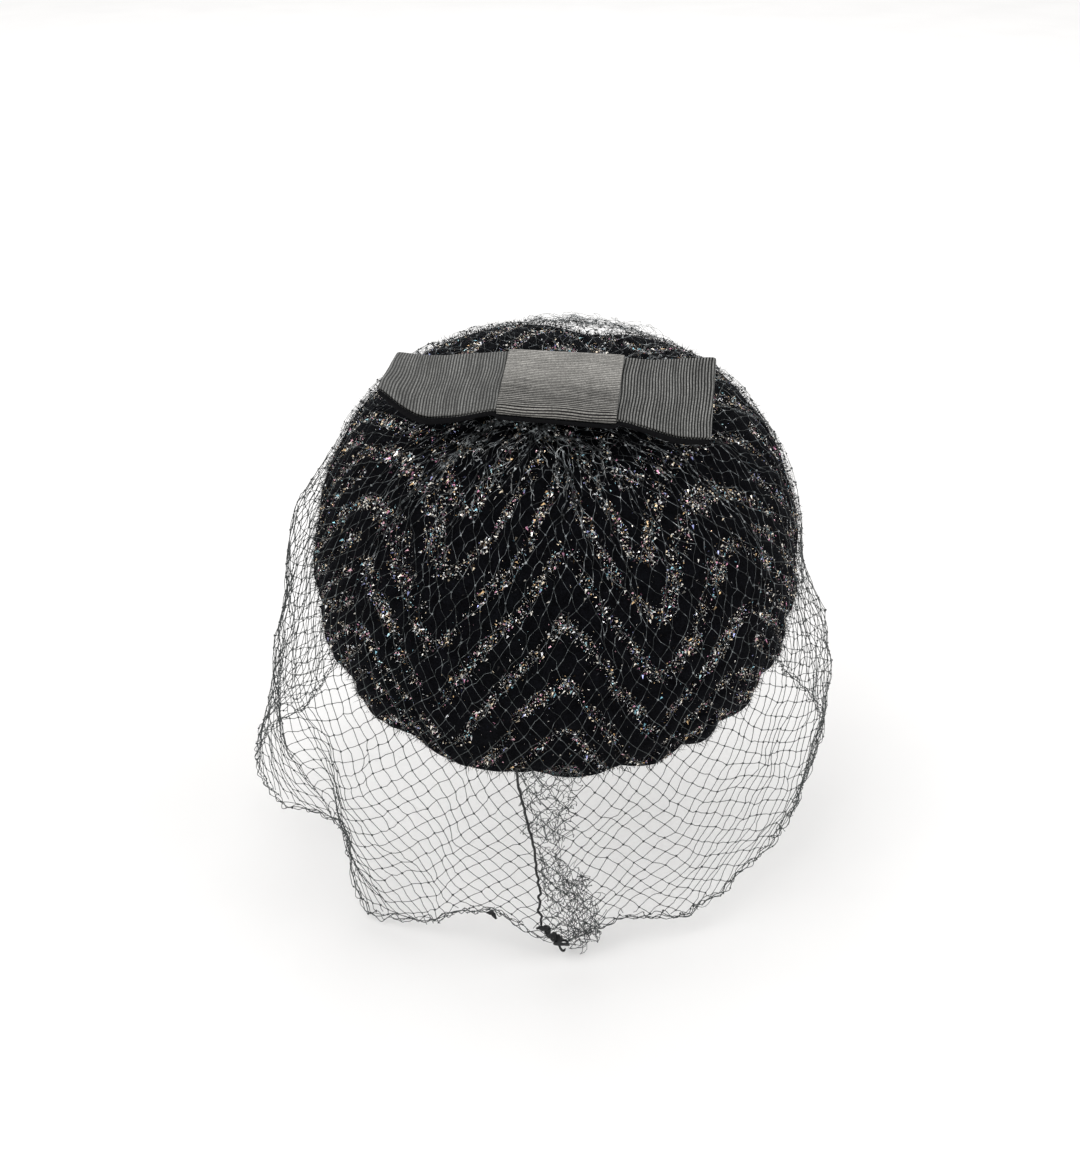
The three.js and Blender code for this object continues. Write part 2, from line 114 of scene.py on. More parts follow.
BOW_FORWARD = 17.0  # the bow's middle, from the cap's pole
BOW_SIDE = -1.5
BOW_TURN = math.radians(-6.5)  # on the crown
BOW_LEAN = math.radians(18)  # back edge up
BAND_LENGTH = 37.5  # along the bow
BAND_END = BAND_LENGTH / 2 + 1
RIBBON_MIDDLE = 9.65  # middle of the two flat layers over the crown, in the middle of the bow
INSIDE_BAND = 0.75  # half the distance between the two layers: in the band,
LOOP_RISE = 1.9  # at the fullest part of a loop
END_RISE = 1.1  # and at its fold
BOW_REACH = {1: 56.5, -1: 48.0}  # of the two loops, from the bow's middle
# How the ribbon lies along the bow: place in mm, turn about the bow's length in degrees, shift
# towards the back edge and drop towards the crown in mm.
BOW_LIE = np.array([(-48, -21, 0.9, 0.3), (-38, -17.5, 2.2, 0.8), (-28, -9, 0.9, 0.3),
                    (-19.75, -6.5, -0.6, -0.4), (19.75, -4, -1.3, -0.5), (31, -6.7, 1.3, 0.7),
                    (42, -5.6, 2.6, 1.8), (50, 2.5, 0.4, 0.6), (56.5, 11, -3.0, -1.1)])

# The seam down the back: its share of the way from gather to hem, and degrees round from the back.
SEAM = np.array([(0.57, 9.2), (0.625, 8.1), (0.7, 5.9), (0.76, 4.5), (0.85, 3.5), (0.97, 2.8)])
RUFFLE_SPAN = (0.76, 0.955)  # share of the way down where the ruffle beside the seam is full


# ------------------------------------------------------------------ the object's own form

def spun(a, b, angle):
    """Two coordinates turned about the third by an angle in radians."""
    c, s = np.cos(angle), np.sin(angle)
    return a * c - b * s, a * s + b * c


def upright(point):
    """Cap coordinates, +Z along its axis and +Y down its back, turned to the worn position."""
    return np.stack([point[..., 0], *spun(point[..., 1], point[..., 2], -TILT)], -1)


ORIGIN_SHIFT = upright(np.array([0.0, 0.0, WALL - DEPTH]))  # rim centre, from the frame's origin


def unit(vectors):
    """Vectors drawn to a length of 1."""
    return vectors / np.maximum(np.linalg.norm(vectors, axis=-1, keepdims=True), 1e-9)


def smoothstep(low, high, value):
    """0 up to low, 1 from high on, and a smooth change between them."""
    share = np.clip((value - low) / (high - low), 0, 1)
    return share * share * (3 - 2 * share)


def bell(away, width):
    """1 where nothing is away, falling off to both sides over the width."""
    return np.exp(-(away / width) ** 2)


def rounded(place, table, column, reach, steps):
    """A column of a table at a place, with the corners between its rows rounded off."""
    shifts = np.linspace(-reach, reach, steps)
    return np.mean([np.interp(place + d, table[:, 0], table[:, column]) for d in shifts], 0)


def direction(around, from_pole):
    """Direction from the cap's middle, by its angle round from the back and from the pole."""
    around, from_pole = np.broadcast_arrays(around, from_pole)
    side = np.sin(from_pole)
    return np.stack([np.sin(around) * side, np.cos(around) * side, np.cos(from_pole)], -1)


FULLER_TOWARD = direction(math.radians(-112), math.radians(75))
GATHER = direction(math.pi, math.asin(BOW_FORWARD / RADIUS))


def on_dome(toward, out):
    """Point on the cap's dome, or `out` millimetres from it, for directions on the unit sphere."""
    x, y = toward[..., 0], toward[..., 1]
    flat = x * x + y * y
    corner = np.where(flat > 1e-9, 4 * x * x * y * y / np.maximum(flat, 1e-9), 0)
    swell = 1 + SQUARE * corner + FULLER * np.maximum(0, toward @ FULLER_TOWARD) ** FULLER_SPREAD
    shape = np.array([RADIUS, RADIUS, DEPTH])
    point = toward * shape * swell[..., None]
    return upright(point + unit(toward / shape) * np.asarray(out)[..., None])


def scallop(degrees, share):
    """Factor that draws the rim in between two lobes; it fades towards the crown."""
    edges = np.concatenate([[NOTCHES[-1] - 360], NOTCHES, [NOTCHES[0] + 360]])
    after = np.searchsorted(edges, degrees, side="right")
    low, high = edges[after - 1], edges[after]
    lobe = np.sin(np.pi * (degrees - low) / (high - low))
    return 1 - NOTCH_DEPTH / RADIUS * (1 - lobe) * share ** NOTCH_FADE


def hem_value(column, around):
    """One column of the hem's table at any angle, on a smooth curve through its rows."""
    place = np.mod(around / TURN * len(HEM), len(HEM))
    row = np.floor(place).astype(int)
    f = place - row
    a, b, c, d = (HEM[(row + k) % len(HEM), column] for k in (-1, 0, 1, 2))
    return b + 0.5 * f * (c - a + f * (2 * a - 5 * b + 4 * c - d + f * (3 * (b - c) + d - a)))


def along_cap(around, share):
    """Direction from the short gathered line to where the net leaves the cap."""
    leave = direction(around, np.radians(hem_value(LEAVE, around)))
    opened = np.minimum(1, share / GATHER_END)
    start = np.broadcast_to(GATHER, leave.shape).copy()
    start[..., 0] += GATHER_HALF_LENGTH / RADIUS * np.sin(around) * opened
    start[..., 1] += GATHER_HALF_WIDTH / RADIUS * np.cos(around) * opened
    start = unit(start)
    angle = np.arccos(np.clip((start * leave).sum(-1), -1, 1))
    first = np.sin((1 - share) * angle) / np.sin(angle)
    last = np.sin(share * angle) / np.sin(angle)
    return start * first[..., None] + leave * last[..., None]


def net_point(around, t):
    """Middle of the net: t runs from 0 at the gather to 1 at the hem."""
    around, t = np.broadcast_arrays(np.asarray(around, float), np.asarray(t, float))

    def over_crown(share):
        opened = np.minimum(1, share / GATHER_END)
        to_back = 1 - opened * (1 - np.cos(around)) * 0.5
        bunch = BUNCH * to_back * bell(share, BUNCH_SPREAD)
        return on_dome(along_cap(around, share), NET_CLEAR + bunch)

    whole = np.ones_like(around)
    start = over_crown(whole)
    tangent = unit(start - over_crown(whole * 0.99))
    level = hem_value(LEVEL, around)

    def from_axis(reach, height):
        return np.stack([np.sin(around) * reach, np.cos(around) * reach - AXIS_FORWARD, height], -1)

    p1 = start + tangent * hem_value(SPRING, around)[..., None]
    p2 = from_axis(hem_value(BELLY, around), level + RISE)
    p3 = from_axis(hem_value(REACH, around), level)
    q = np.clip((t - SHARE_ON_CAP) / (1 - SHARE_ON_CAP), 0, 1)[..., None]
    free = ((1 - q) ** 3 * start + 3 * q * (1 - q) ** 2 * p1 + 3 * q * q * (1 - q) * p2
            + q ** 3 * p3) + np.maximum(t - 1, 0)[..., None] * 3 * (p3 - p2) / (1 - SHARE_ON_CAP)
    crown = over_crown(np.clip(t / SHARE_ON_CAP, 0, 1) ** CROWDING)
    return np.where((t <= SHARE_ON_CAP)[..., None], crown, free)


def net_normal(around, t):
    """Which way is out from the net."""
    step = 0.01
    round_ = net_point(around + step, t) - net_point(around - step, t)
    along = (net_point(around, np.minimum(t + step, 1))
             - net_point(around, np.maximum(t - step, 0.002)))
    return unit(np.cross(round_, along))


def on_bow(x, v, n):
    """From the flat bow (x along it, v across, n through it) to its place on the crown."""
    x, v, n = np.broadcast_arrays(x, v, n)
    turn, back, drop = (rounded(x, BOW_LIE, k, 3.5, 9) for k in (1, 2, 3))
    y, z = spun(v, n, np.radians(turn))
    x, y = spun(x, y + back, BOW_TURN)
    slope = math.atan2(BOW_FORWARD / RADIUS ** 2, GATHER[2] / DEPTH)
    y, z = spun(y, z - drop, slope + BOW_LEAN)
    point = np.stack([x + BOW_SIDE,
                      y - BOW_FORWARD - math.sin(slope) * RIBBON_MIDDLE,
                      z + GATHER[2] * DEPTH + math.cos(slope) * RIBBON_MIDDLE], -1)
    return upright(point)


# ------------------------------------------------------------------ meshes and node trees

def linear(code):
    """A hex sRGB colour as linear red, green and blue."""
    parts = [int(code[k:k + 2], 16) / 255 for k in (1, 3, 5)]
    return tuple(p / 12.92 if p <= 0.04045 else ((p + 0.055) / 1.055) ** 2.4 for p in parts)


def rgba(colour):
    """A hex or linear colour with its alpha, as a socket takes it."""
    return (*(linear(colour) if isinstance(colour, str) else colour), 1.0)


def feed(node, inputs):
    """Sets a node's inputs: each is a value, a colour, or the socket or node that feeds it."""
    for key, value in inputs.items():
        socket = node.inputs[key]
        if isinstance(value, bpy.types.Node):
            value = value.outputs[0]
        if isinstance(value, bpy.types.NodeSocket):
            node.id_data.links.new(value, socket)
        else:
            socket.default_value = rgba(value) if socket.type == "RGBA" else value


def add(tree, kind, inputs=None, stops=(), **settings):
    """Adds one node with its settings, its links and, on a colour ramp, its stops."""
    node = tree.nodes.new(kind)
    for name, value in settings.items():
        setattr(node, name, value)
    feed(node, inputs or {})
    if stops:
        elements = node.color_ramp.elements
        while len(elements) < len(stops):
            elements.new(1.0)
        for element, (position, tone) in zip(elements, stops):
            element.position, element.color = position, rgba(tone)
    return node


def mesh_object(name, points, faces=(), edges=(), smooth=True):
    """An object at the origin from points in millimetres, measured from the rim's centre."""
    mesh = bpy.data.meshes.new(name)
    places = (np.asarray(points) + ORIGIN_SHIFT) * MM
    mesh.from_pydata(places.tolist(), [tuple(e) for e in edges], [tuple(f) for f in faces])
    mesh.validate()
    mesh.update()
    if smooth and len(mesh.polygons):
        mesh.polygons.foreach_set("use_smooth", [True] * len(mesh.polygons))
    obj = bpy.data.objects.new(name, mesh)
    bpy.context.scene.collection.objects.link(obj)
    return obj


def point_values(obj, name, values):
    """Stores one number for each point of an object's mesh, for its nodes to read."""
    layer = obj.data.attributes.new(name, "FLOAT", "POINT")
    layer.data.foreach_set("value", np.asarray(values, np.float32).ravel())


def node_tree(name, sockets):
    """An empty geometry tree: returns it, its input sockets and its output node.

    In the trees, inputs 0 and 1 of Random Value are its range as a vector, and 2 and 3 as a number.
    """
    tree = bpy.data.node_groups.new(name, "GeometryNodeTree")
    tree.interface.new_socket("Geometry", in_out="OUTPUT", socket_type="NodeSocketGeometry")
    for label, kind in {"Geometry": "Geometry", **sockets, "Material": "Material"}.items():
        tree.interface.new_socket(label, in_out="INPUT", socket_type="NodeSocket" + kind)
    return tree, add(tree, "NodeGroupInput").outputs, add(tree, "NodeGroupOutput")


def grown(obj, tree, values, name=None):
    """Runs a geometry tree on an object and returns the result as a plain mesh object."""
    modifier = obj.modifiers.new(tree.name, "NODES")
    modifier.node_group = tree
    for item in tree.interface.items_tree:
        if item.in_out == "INPUT" and item.name in values:
            modifier[item.identifier] = values[item.name]
    evaluated = obj.evaluated_get(bpy.context.evaluated_depsgraph_get())
    mesh = bpy.data.meshes.new_from_object(evaluated)
    obj.modifiers.remove(modifier)
    if not len(mesh.polygons):
        raise RuntimeError(f"{tree.name} made nothing on {obj.name}")
    if name is None:
        obj.data = mesh
        return obj
    mesh.name = name
    result = bpy.data.objects.new(name, mesh)
    bpy.context.scene.collection.objects.link(result)
    return result


def made_real(tree, given, end, geometry):
    """The end of every tree: instances are made real, and the material is set."""
    real = add(tree, "GeometryNodeRealizeInstances", {"Geometry": geometry})
    done = add(tree, "GeometryNodeSetMaterial", {"Geometry": real, "Material": given["Material"]})
    feed(end, {0: done})
    return tree


def thread_tree():
    """Round threads along a mesh's edges, with a small knot on each point marked as one."""
    tree, given, end = node_tree("Threads", {
        "Thread radius": "Float", "Sides": "Int", "Knot radius": "Float", "Seed": "Int"})
    line = add(tree, "GeometryNodeMeshToCurve", {"Mesh": given["Geometry"]})
    crown, mark = (add(tree, "GeometryNodeInputNamedAttribute", {"Name": word}, data_type="FLOAT")
                   for word in ("crown", "knot"))
    thin = add(tree, "ShaderNodeMath", {0: crown, 1: -0.5, 2: 1.0}, operation="MULTIPLY_ADD")
    ring = add(tree, "GeometryNodeCurvePrimitiveCircle",
               {"Resolution": given["Sides"], "Radius": given["Thread radius"]})
    tube = add(tree, "GeometryNodeCurveToMesh",
               {"Curve": line, "Profile Curve": ring, "Scale": thin, "Fill Caps": True})
    ball = add(tree, "GeometryNodeMeshUVSphere",
               {"Segments": 4, "Rings": 2, "Radius": given["Knot radius"]})
    size = add(tree, "FunctionNodeRandomValue", {2: 0.75, 3: 1.3, "Seed": given["Seed"]},
               data_type="FLOAT")
    spin = add(tree, "FunctionNodeRandomValue",
               {0: (0, 0, 0), 1: (TURN, TURN, TURN), "Seed": given["Seed"]},
               data_type="FLOAT_VECTOR")
    knots = add(tree, "GeometryNodeInstanceOnPoints",
                {"Points": given["Geometry"], "Selection": mark, "Instance": ball,
                 "Rotation": spin, "Scale": size.outputs[1]})
    both = add(tree, "GeometryNodeJoinGeometry", {0: knots})
    feed(both, {0: tube})
    soft = add(tree, "GeometryNodeSetShadeSmooth", {"Geometry": both})
    return made_real(tree, given, end, soft)


def scatter_tree():
    """Slivers or pile fibres scattered over a surface where its named share is high."""
    tree, given, end = node_tree("Scatter", {
        "Per square metre": "Float", "Seed": "Int", "Radius": "Float", "Length": "Float",
        "Flatness": "Float", "Lean": "Float", "Lie down": "Float", "Lift": "Float"})
    share = add(tree, "GeometryNodeInputNamedAttribute", {"Name": "share"}, data_type="FLOAT")
    many = add(tree, "ShaderNodeMath", {0: share, 1: given["Per square metre"]},
               operation="MULTIPLY")
    spots = add(tree, "GeometryNodeDistributePointsOnFaces",
                {"Mesh": given["Geometry"], "Density": many, "Seed": given["Seed"]},
                distribute_method="RANDOM")
    raised = add(tree, "ShaderNodeVectorMath",
                 {0: spots.outputs["Normal"], "Scale": given["Lift"]}, operation="SCALE")
    lifted = add(tree, "GeometryNodeSetPosition", {"Geometry": spots, "Offset": raised})

    # One sliver: a cone of three sides, pressed flat, with its tip up.
    cone = add(tree, "GeometryNodeMeshCone",
               {"Vertices": 3, "Side Segments": 1, "Fill Segments": 1, "Radius Top": 0.0,
                "Radius Bottom": given["Radius"], "Depth": given["Length"]})
    thin = add(tree, "ShaderNodeCombineXYZ", {"X": 1.0, "Y": given["Flatness"], "Z": 1.0})
    sliver = add(tree, "GeometryNodeTransform", {"Geometry": cone, "Scale": thin})

    # It is spun about its own line, laid down, and tipped at random.
    spin = add(tree, "FunctionNodeRandomValue", {2: 0.0, 3: TURN, "Seed": given["Seed"]},
               data_type="FLOAT")
    about = add(tree, "ShaderNodeCombineXYZ", {"Z": spin.outputs[1]})
    lay = add(tree, "ShaderNodeCombineXYZ", {"X": given["Lie down"]})
    back = add(tree, "ShaderNodeMath", {0: given["Lean"], 1: -1.0}, operation="MULTIPLY")
    tip = add(tree, "FunctionNodeRandomValue",
              {0: back, 1: given["Lean"], "Seed": given["Seed"]}, data_type="FLOAT_VECTOR")
    turned = spots.outputs["Rotation"]
    for turn in (about, lay, tip):
        turned = add(tree, "FunctionNodeRotateEuler", {"Rotation": turned, "Rotate By": turn},
                     space="LOCAL")

    # Most are small, and a few are more than twice as long.
    chance = add(tree, "FunctionNodeRandomValue", {2: 0.0, 3: 1.0, "Seed": given["Seed"]},
                 data_type="FLOAT")
    rare = add(tree, "ShaderNodeMath", {0: chance.outputs[1], 1: 4.0}, operation="POWER")
    size = add(tree, "ShaderNodeMath", {0: rare, 1: 1.5, 2: 0.6}, operation="MULTIPLY_ADD")
    slivers = add(tree, "GeometryNodeInstanceOnPoints",
                  {"Points": lifted, "Instance": sliver, "Rotation": turned, "Scale": size})
    # Each sliver gets a random hue and a random share of painted light; its material darkens the
    # slivers with a low share as painted shade.
    for seed, word in ((11, "hue"), (12, "sliver_painted_light")):
        chance = add(tree, "FunctionNodeRandomValue", {2: 0.0, 3: 1.0, "Seed": seed},
                     data_type="FLOAT")
        slivers = add(tree, "GeometryNodeStoreNamedAttribute",
                      {"Geometry": slivers, "Name": word, "Value": chance.outputs[1]},
                      data_type="FLOAT", domain="INSTANCE")
    return made_real(tree, given, end, slivers)


def rib_tree():
    """Grosgrain ribs: raises a ribbon's surface by its run, in millimetres, along the ribbon."""
    tree, given, end = node_tree("Ribs", {"Rib pitch": "Float", "Rib height": "Float"})
    run, kept = (add(tree, "GeometryNodeInputNamedAttribute", {"Name": word}, data_type="FLOAT")
                 for word in ("run", "ribbed"))
    high = run
    for operation, value in (("DIVIDE", given["Rib pitch"]), ("MULTIPLY", math.pi),
                             ("SINE", None), ("ABSOLUTE", None), ("POWER", 0.6),
                             ("SUBTRACT", 0.6), ("MULTIPLY", kept),
                             ("MULTIPLY", given["Rib height"])):
        high = add(tree, "ShaderNodeMath", {0: high} if value is None else {0: high, 1: value},
                   operation=operation)
    normal = add(tree, "GeometryNodeInputNormal")
    push = add(tree, "ShaderNodeVectorMath", {0: normal, "Scale": high}, operation="SCALE")
    moved = add(tree, "GeometryNodeSetPosition", {"Geometry": given["Geometry"], "Offset": push})
    return made_real(tree, given, end, moved)


# ------------------------------------------------------------------ materials

def surface(name):
    """A new material: its tree, its Principled shader and its Object coordinates.

    In the trees, inputs 2 and 3 of Mix are its numbers, and 6 and 7 its colours.
    """
    material = bpy.data.materials.new(name)
    material.use_nodes = True
    tree = material.node_tree
    shader = tree.nodes["Principled BSDF"]
    place = add(tree, "ShaderNodeTexCoord").outputs["Object"]
    return material, tree, shader, place


def per_metre(size_mm):
    """Noise scale that gives features of about this size."""
    return 1 / (size_mm * MM)


def velvet_material(name, sizes):
    """Viscose pile velvet, woven: deep black, with lighter random patches of painted sheen for the
    cool bloom where the pile turns away.

    The tufts are drawn 0.55 mm wide, coarser than real, so that they show.
    """
    material, tree, shader, place = surface(name)
    crush = add(tree, "ShaderNodeTexNoise",
                {"Vector": place, "Scale": per_metre(3.2), "Detail": 3.0, "Roughness": 0.6})
    pile = add(tree, "ShaderNodeTexNoise",
               {"Vector": place, "Scale": per_metre(0.55), "Detail": 1.0})
    both = add(tree, "ShaderNodeMath", {0: crush, 1: pile}, operation="MULTIPLY")
    # The lighter stop is painted sheen: random lighter patches of pile stand in for its bloom.
    colour = add(tree, "ShaderNodeValToRGB", {"Fac": both},
                 stops=((0.12, sizes.velvet), (0.42, sizes.velvet_painted_sheen)))
    relief = add(tree, "ShaderNodeBump", {"Height": pile, "Distance": 0.25 * MM, "Strength": 0.7})
    feed(shader, {"Base Color": colour, "Roughness": 0.95, "Specular IOR Level": 0.05,
                  "Sheen Weight": 0.04, "Sheen Roughness": 0.35, "Sheen Tint": "#aab4c8",
                  "Normal": relief})
    return material


def lining_material(name):
    """Plain woven cotton lining over a stiff base: matt black with a fine thread grid.

    The threads are drawn 0.9 mm apart, coarser than real, so that they show.
    """
    material, tree, shader, place = surface(name)
    warp, weft = (add(tree, "ShaderNodeTexWave",
                      {"Vector": place, "Scale": per_metre(0.9) / 20, "Distortion": 1.2},
                      wave_type="BANDS", bands_direction=axis).outputs["Fac"] for axis in "XZ")
    grid = add(tree, "ShaderNodeMath", {0: warp, 1: weft}, operation="MULTIPLY")
    colour = add(tree, "ShaderNodeValToRGB", {"Fac": grid},
                 stops=((0.0, "#0e0e10"), (1.0, "#2e2e33")))
    relief = add(tree, "ShaderNodeBump", {"Height": grid, "Distance": 0.15 * MM, "Strength": 0.6})
    feed(shader, {"Base Color": colour, "Roughness": 0.9, "Normal": relief})
    return material


def lurex_material(name):
    """Lurex, a slit metallised film: small bright slivers in silver, gold, rose and turquoise.

    Each sliver has its own hue and its own painted shade, so that many lie dark while a few flash by
    real reflection. They are drawn
    0.4 to 0.8 mm long, coarser than real, so that they show.
    """
    material, tree, shader, _ = surface(name)
    hue, sliver_painted_light = (add(tree, "ShaderNodeAttribute", attribute_name=word).outputs["Fac"]
                 for word in ("hue", "sliver_painted_light"))
    tint = add(tree, "ShaderNodeValToRGB", {"Fac": hue}, stops=(
        (0.0, "#fffaf0"), (0.34, "#f3f4f6"), (0.54, "#fbe9cc"), (0.68, "#f5cf9c"),
        (0.75, "#f2bfcc"), (0.81, "#df9cba"), (0.85, "#bfe6ec"), (0.91, "#93c9da"),
        (0.95, "#b4b9ee")))
    tint.color_ramp.interpolation = "CONSTANT"
    # Painted shade: each sliver's colour is darkened by its random share, for slivers that face away
    # from the light; the rest keep their colour and flash by real reflection.
    shade = add(tree, "ShaderNodeValToRGB", {"Fac": sliver_painted_light}, stops=(
        (0.0, "#141416"), (0.36, "#38383b"), (0.54, "#9a9a9a"), (0.66, "#ffffff")))
    colour = add(tree, "ShaderNodeMix", {0: 1.0, 6: tint, 7: shade},
                 data_type="RGBA", blend_type="MULTIPLY")
    feed(shader, {"Base Color": colour.outputs[2], "Metallic": 1.0, "Roughness": 0.22})
    return material


def nylon_material(name, sizes):
    """Nylon netting, knotted: a smoky thread with a slight gloss.

    Over the crown it has broken painted highlights, and the limp strands by the bow have short
    near-white painted glints.
    """
    material, tree, shader, place = surface(name)
    tone, highlight_patches, patch, grain = (
        add(tree, "ShaderNodeTexNoise",
            {"Vector": place, "Scale": per_metre(size), "Detail": detail, "Roughness": rough})
        for size, detail, rough in ((6.0, 2.0, 0.5), (3.0, 2.0, 0.65), (1.7, 1.0, 0.5),
                                    (0.3, 1.0, 0.5)))
    painted_highlight_share, painted_glint_share = (add(tree, "ShaderNodeAttribute", attribute_name=word).outputs["Fac"]
                      for word in ("painted_highlight_share", "painted_glint_share"))
    thread = add(tree, "ShaderNodeValToRGB", {"Fac": tone},
                 stops=((0.3, sizes.net_dark), (0.7, sizes.net)))
    # Painted highlight: the thread over the crown is drawn lighter in broken lengths, and light grey
    # at a few spots, by its share of painted highlight.
    painted_highlight_ramp = add(tree, "ShaderNodeValToRGB", {"Fac": highlight_patches},
                 stops=((0.47, sizes.net_dark), (0.58, sizes.net_painted_highlight), (0.68, "#c4c9ca")))
    thread_with_highlight = add(tree, "ShaderNodeMix", {0: painted_highlight_share, 6: thread, 7: painted_highlight_ramp}, data_type="RGBA")
    # Painted glints: short near-white lengths on some strands by the bow, set by each strand's
    # random share.
    spots = add(tree, "ShaderNodeMapRange", {"Value": patch, "From Min": 0.44, "From Max": 0.54})
    spots = add(tree, "ShaderNodeMath", {0: spots, 1: painted_glint_share}, operation="MULTIPLY")
    bright = add(tree, "ShaderNodeMix", {0: spots, 6: thread_with_highlight.outputs[2], 7: "#f4f6f6"},
                 data_type="RGBA")
    relief = add(tree, "ShaderNodeBump", {"Height": grain, "Distance": 0.03 * MM, "Strength": 0.4})
    feed(shader, {"Base Color": bright.outputs[2], "Roughness": 0.42, "IOR": 1.53,
                  "Normal": relief})
    return material


def grosgrain_material(name, colour, pitch_mm, uneven_mm):
    """Grosgrain ribbon, woven: a soft grey rayon face with painted shade in the hollows between its
    cross ribs.

    The weave attribute is along, across and painted light, where a face with more painted light is
    drawn lighter.
    The ribs are drawn a tenth further apart than real, and the warp 0.45 mm apart, so that they
    show.
    """
    material, tree, shader, place = surface(name)
    weave = add(tree, "ShaderNodeAttribute", attribute_name="weave").outputs["Vector"]
    parts = add(tree, "ShaderNodeSeparateXYZ", {0: weave}).outputs
    flat = add(tree, "ShaderNodeAttribute", attribute_name="rib_shade_eased").outputs["Fac"]
    drift, fuzz, worn = (
        add(tree, "ShaderNodeTexNoise",
            {"Vector": place, "Scale": per_metre(size), "Detail": detail, "Roughness": rough})
        for size, detail, rough in ((4.0, 2.0, 0.5), (0.5, 2.0, 0.6), (9.0, 3.0, 0.6)))

    # The ribs: 0 in the hollow between two of them, 1 on a crest.
    uneven = add(tree, "ShaderNodeMapRange",
                 {"Value": drift, "To Min": -uneven_mm, "To Max": uneven_mm})
    along = add(tree, "ShaderNodeMath", {0: parts["X"], 1: uneven})
    turn = add(tree, "ShaderNodeMath", {0: along, 1: math.pi / pitch_mm}, operation="MULTIPLY")
    sine = add(tree, "ShaderNodeMath", {0: turn}, operation="SINE")
    rib = add(tree, "ShaderNodeMath", {0: sine}, operation="ABSOLUTE")

    # How light the face is: painted shade in the hollows, uneven along each rib and eased where the
    # ribbon's rib-shade share is high, then painted light from the weave's third value.
    hollow = add(tree, "ShaderNodeMapRange",
                 {"Value": rib, "From Min": 0.52, "From Max": 0.93, "To Min": 0.0, "To Max": 2.05})
    drawn = add(tree, "ShaderNodeVectorMath", {0: weave, 1: (0.62, 0.05, 0.0)},
                operation="MULTIPLY")
    streak = add(tree, "ShaderNodeTexNoise", {"Vector": drawn, "Scale": 1.0})
    streak = add(tree, "ShaderNodeMapRange",
                 {"Value": streak, "From Min": 0.3, "From Max": 0.7, "To Min": 0.66,
                  "To Max": 1.3})
    hollow = add(tree, "ShaderNodeMath", {0: hollow, 1: streak}, operation="MULTIPLY")
    hollow = add(tree, "ShaderNodeMix", {0: flat, 2: hollow, 3: 0.9})
    # Painted light: the face is drawn lighter where the weave's third value is high.
    level = add(tree, "ShaderNodeMapRange", {"Value": parts["Z"], "To Min": 0.52, "To Max": 1.1})
    light = add(tree, "ShaderNodeMapRange",
                {"Value": fuzz, "From Min": 0.3, "From Max": 0.7, "To Min": 0.56, "To Max": 1.4})
    fade = add(tree, "ShaderNodeMapRange",
               {"Value": worn, "From Min": 0.35, "From Max": 0.65, "To Min": 0.9,
                "To Max": 1.08})
    value = hollow
    for factor in (level, light, fade):
        value = add(tree, "ShaderNodeMath", {0: value, 1: factor}, operation="MULTIPLY")
    base = add(tree, "ShaderNodeVectorMath", {0: tuple(colour), "Scale": value},
               operation="SCALE")

    # The relief: ribs, warp threads across them, and fuzz.
    warp = add(tree, "ShaderNodeMath", {0: parts["Y"], 1: TURN / 0.45}, operation="MULTIPLY")
    warp = add(tree, "ShaderNodeMath", {0: warp}, operation="SINE")
    cross = add(tree, "ShaderNodeMath", {0: warp, 1: 0.25}, operation="MULTIPLY")
    height = add(tree, "ShaderNodeMath", {0: rib, 1: cross})
    height = add(tree, "ShaderNodeMath", {0: height, 1: fuzz})
    relief = add(tree, "ShaderNodeBump",
                 {"Height": height, "Distance": 0.12 * MM, "Strength": 0.6})
    feed(shader, {"Base Color": base, "Roughness": 0.8, "Specular IOR Level": 0.25,
                  "Sheen Weight": 0.05, "Normal": relief})
    return material


def fibre_material(name, tones, grain, relief, finish):
    """A material of one clouded colour with a fine relief.

    tones are the ramp's stops; grain is the size in millimetres, the detail and the roughness of
    what clouds it; relief is the depth in millimetres and the strength of its bumps, and the size
    of their grain, where that isn't the clouds' own.
    """
    material, tree, shader, place = surface(name)
    size_mm, detail, rough = grain
    cloud = add(tree, "ShaderNodeTexNoise",
                {"Vector": place, "Scale": per_metre(size_mm), "Detail": detail,
                 "Roughness": rough})
    colour = add(tree, "ShaderNodeValToRGB", {"Fac": cloud}, stops=tones)
    feed(shader, {"Base Color": colour, **finish})
    if relief:
        depth_mm, strength, own_mm = relief
        fine = cloud if own_mm is None else add(
            tree, "ShaderNodeTexNoise",
            {"Vector": place, "Scale": per_metre(own_mm), "Detail": 1.0})
        bumps = add(tree, "ShaderNodeBump",
                    {"Height": fine, "Distance": depth_mm * MM, "Strength": strength})
        feed(shader, {"Normal": bumps})
    return material


def cotton_material(name, colour, dark):
    """Waxed sewing cotton, twisted: matt, with painted shade for the hollows between its plies, laid
    in fine random clouds.
    """
    return fibre_material(name, ((0.3, dark), (0.75, colour)), (0.35, 2.0, 0.6),
                          (0.08, 0.6, None), {"Roughness": 0.7})


def shade_sheet_material(name):
    """Painted shade under the bow: a soft, nearly black matt finish for the shadowed underside of
    its loops.
    """
    return fibre_material(name, ((0.3, "#060607"), (0.8, "#141416")), (0.6, 3.0, 0.7),
                          (0.15, 0.7, None), {"Roughness": 0.98, "Specular IOR Level": 0.1})


def acetate_material(name, colour):
    """Cellulose acetate comb, cut and tumbled: glossy near-black with faint brown depth."""
    return fibre_material(name, ((0.35, colour), (0.7, "#33241b")), (14.0, 2.0, 0.5),
                          (0.02, 0.3, 0.8), {"Roughness": 0.18, "IOR": 1.5})


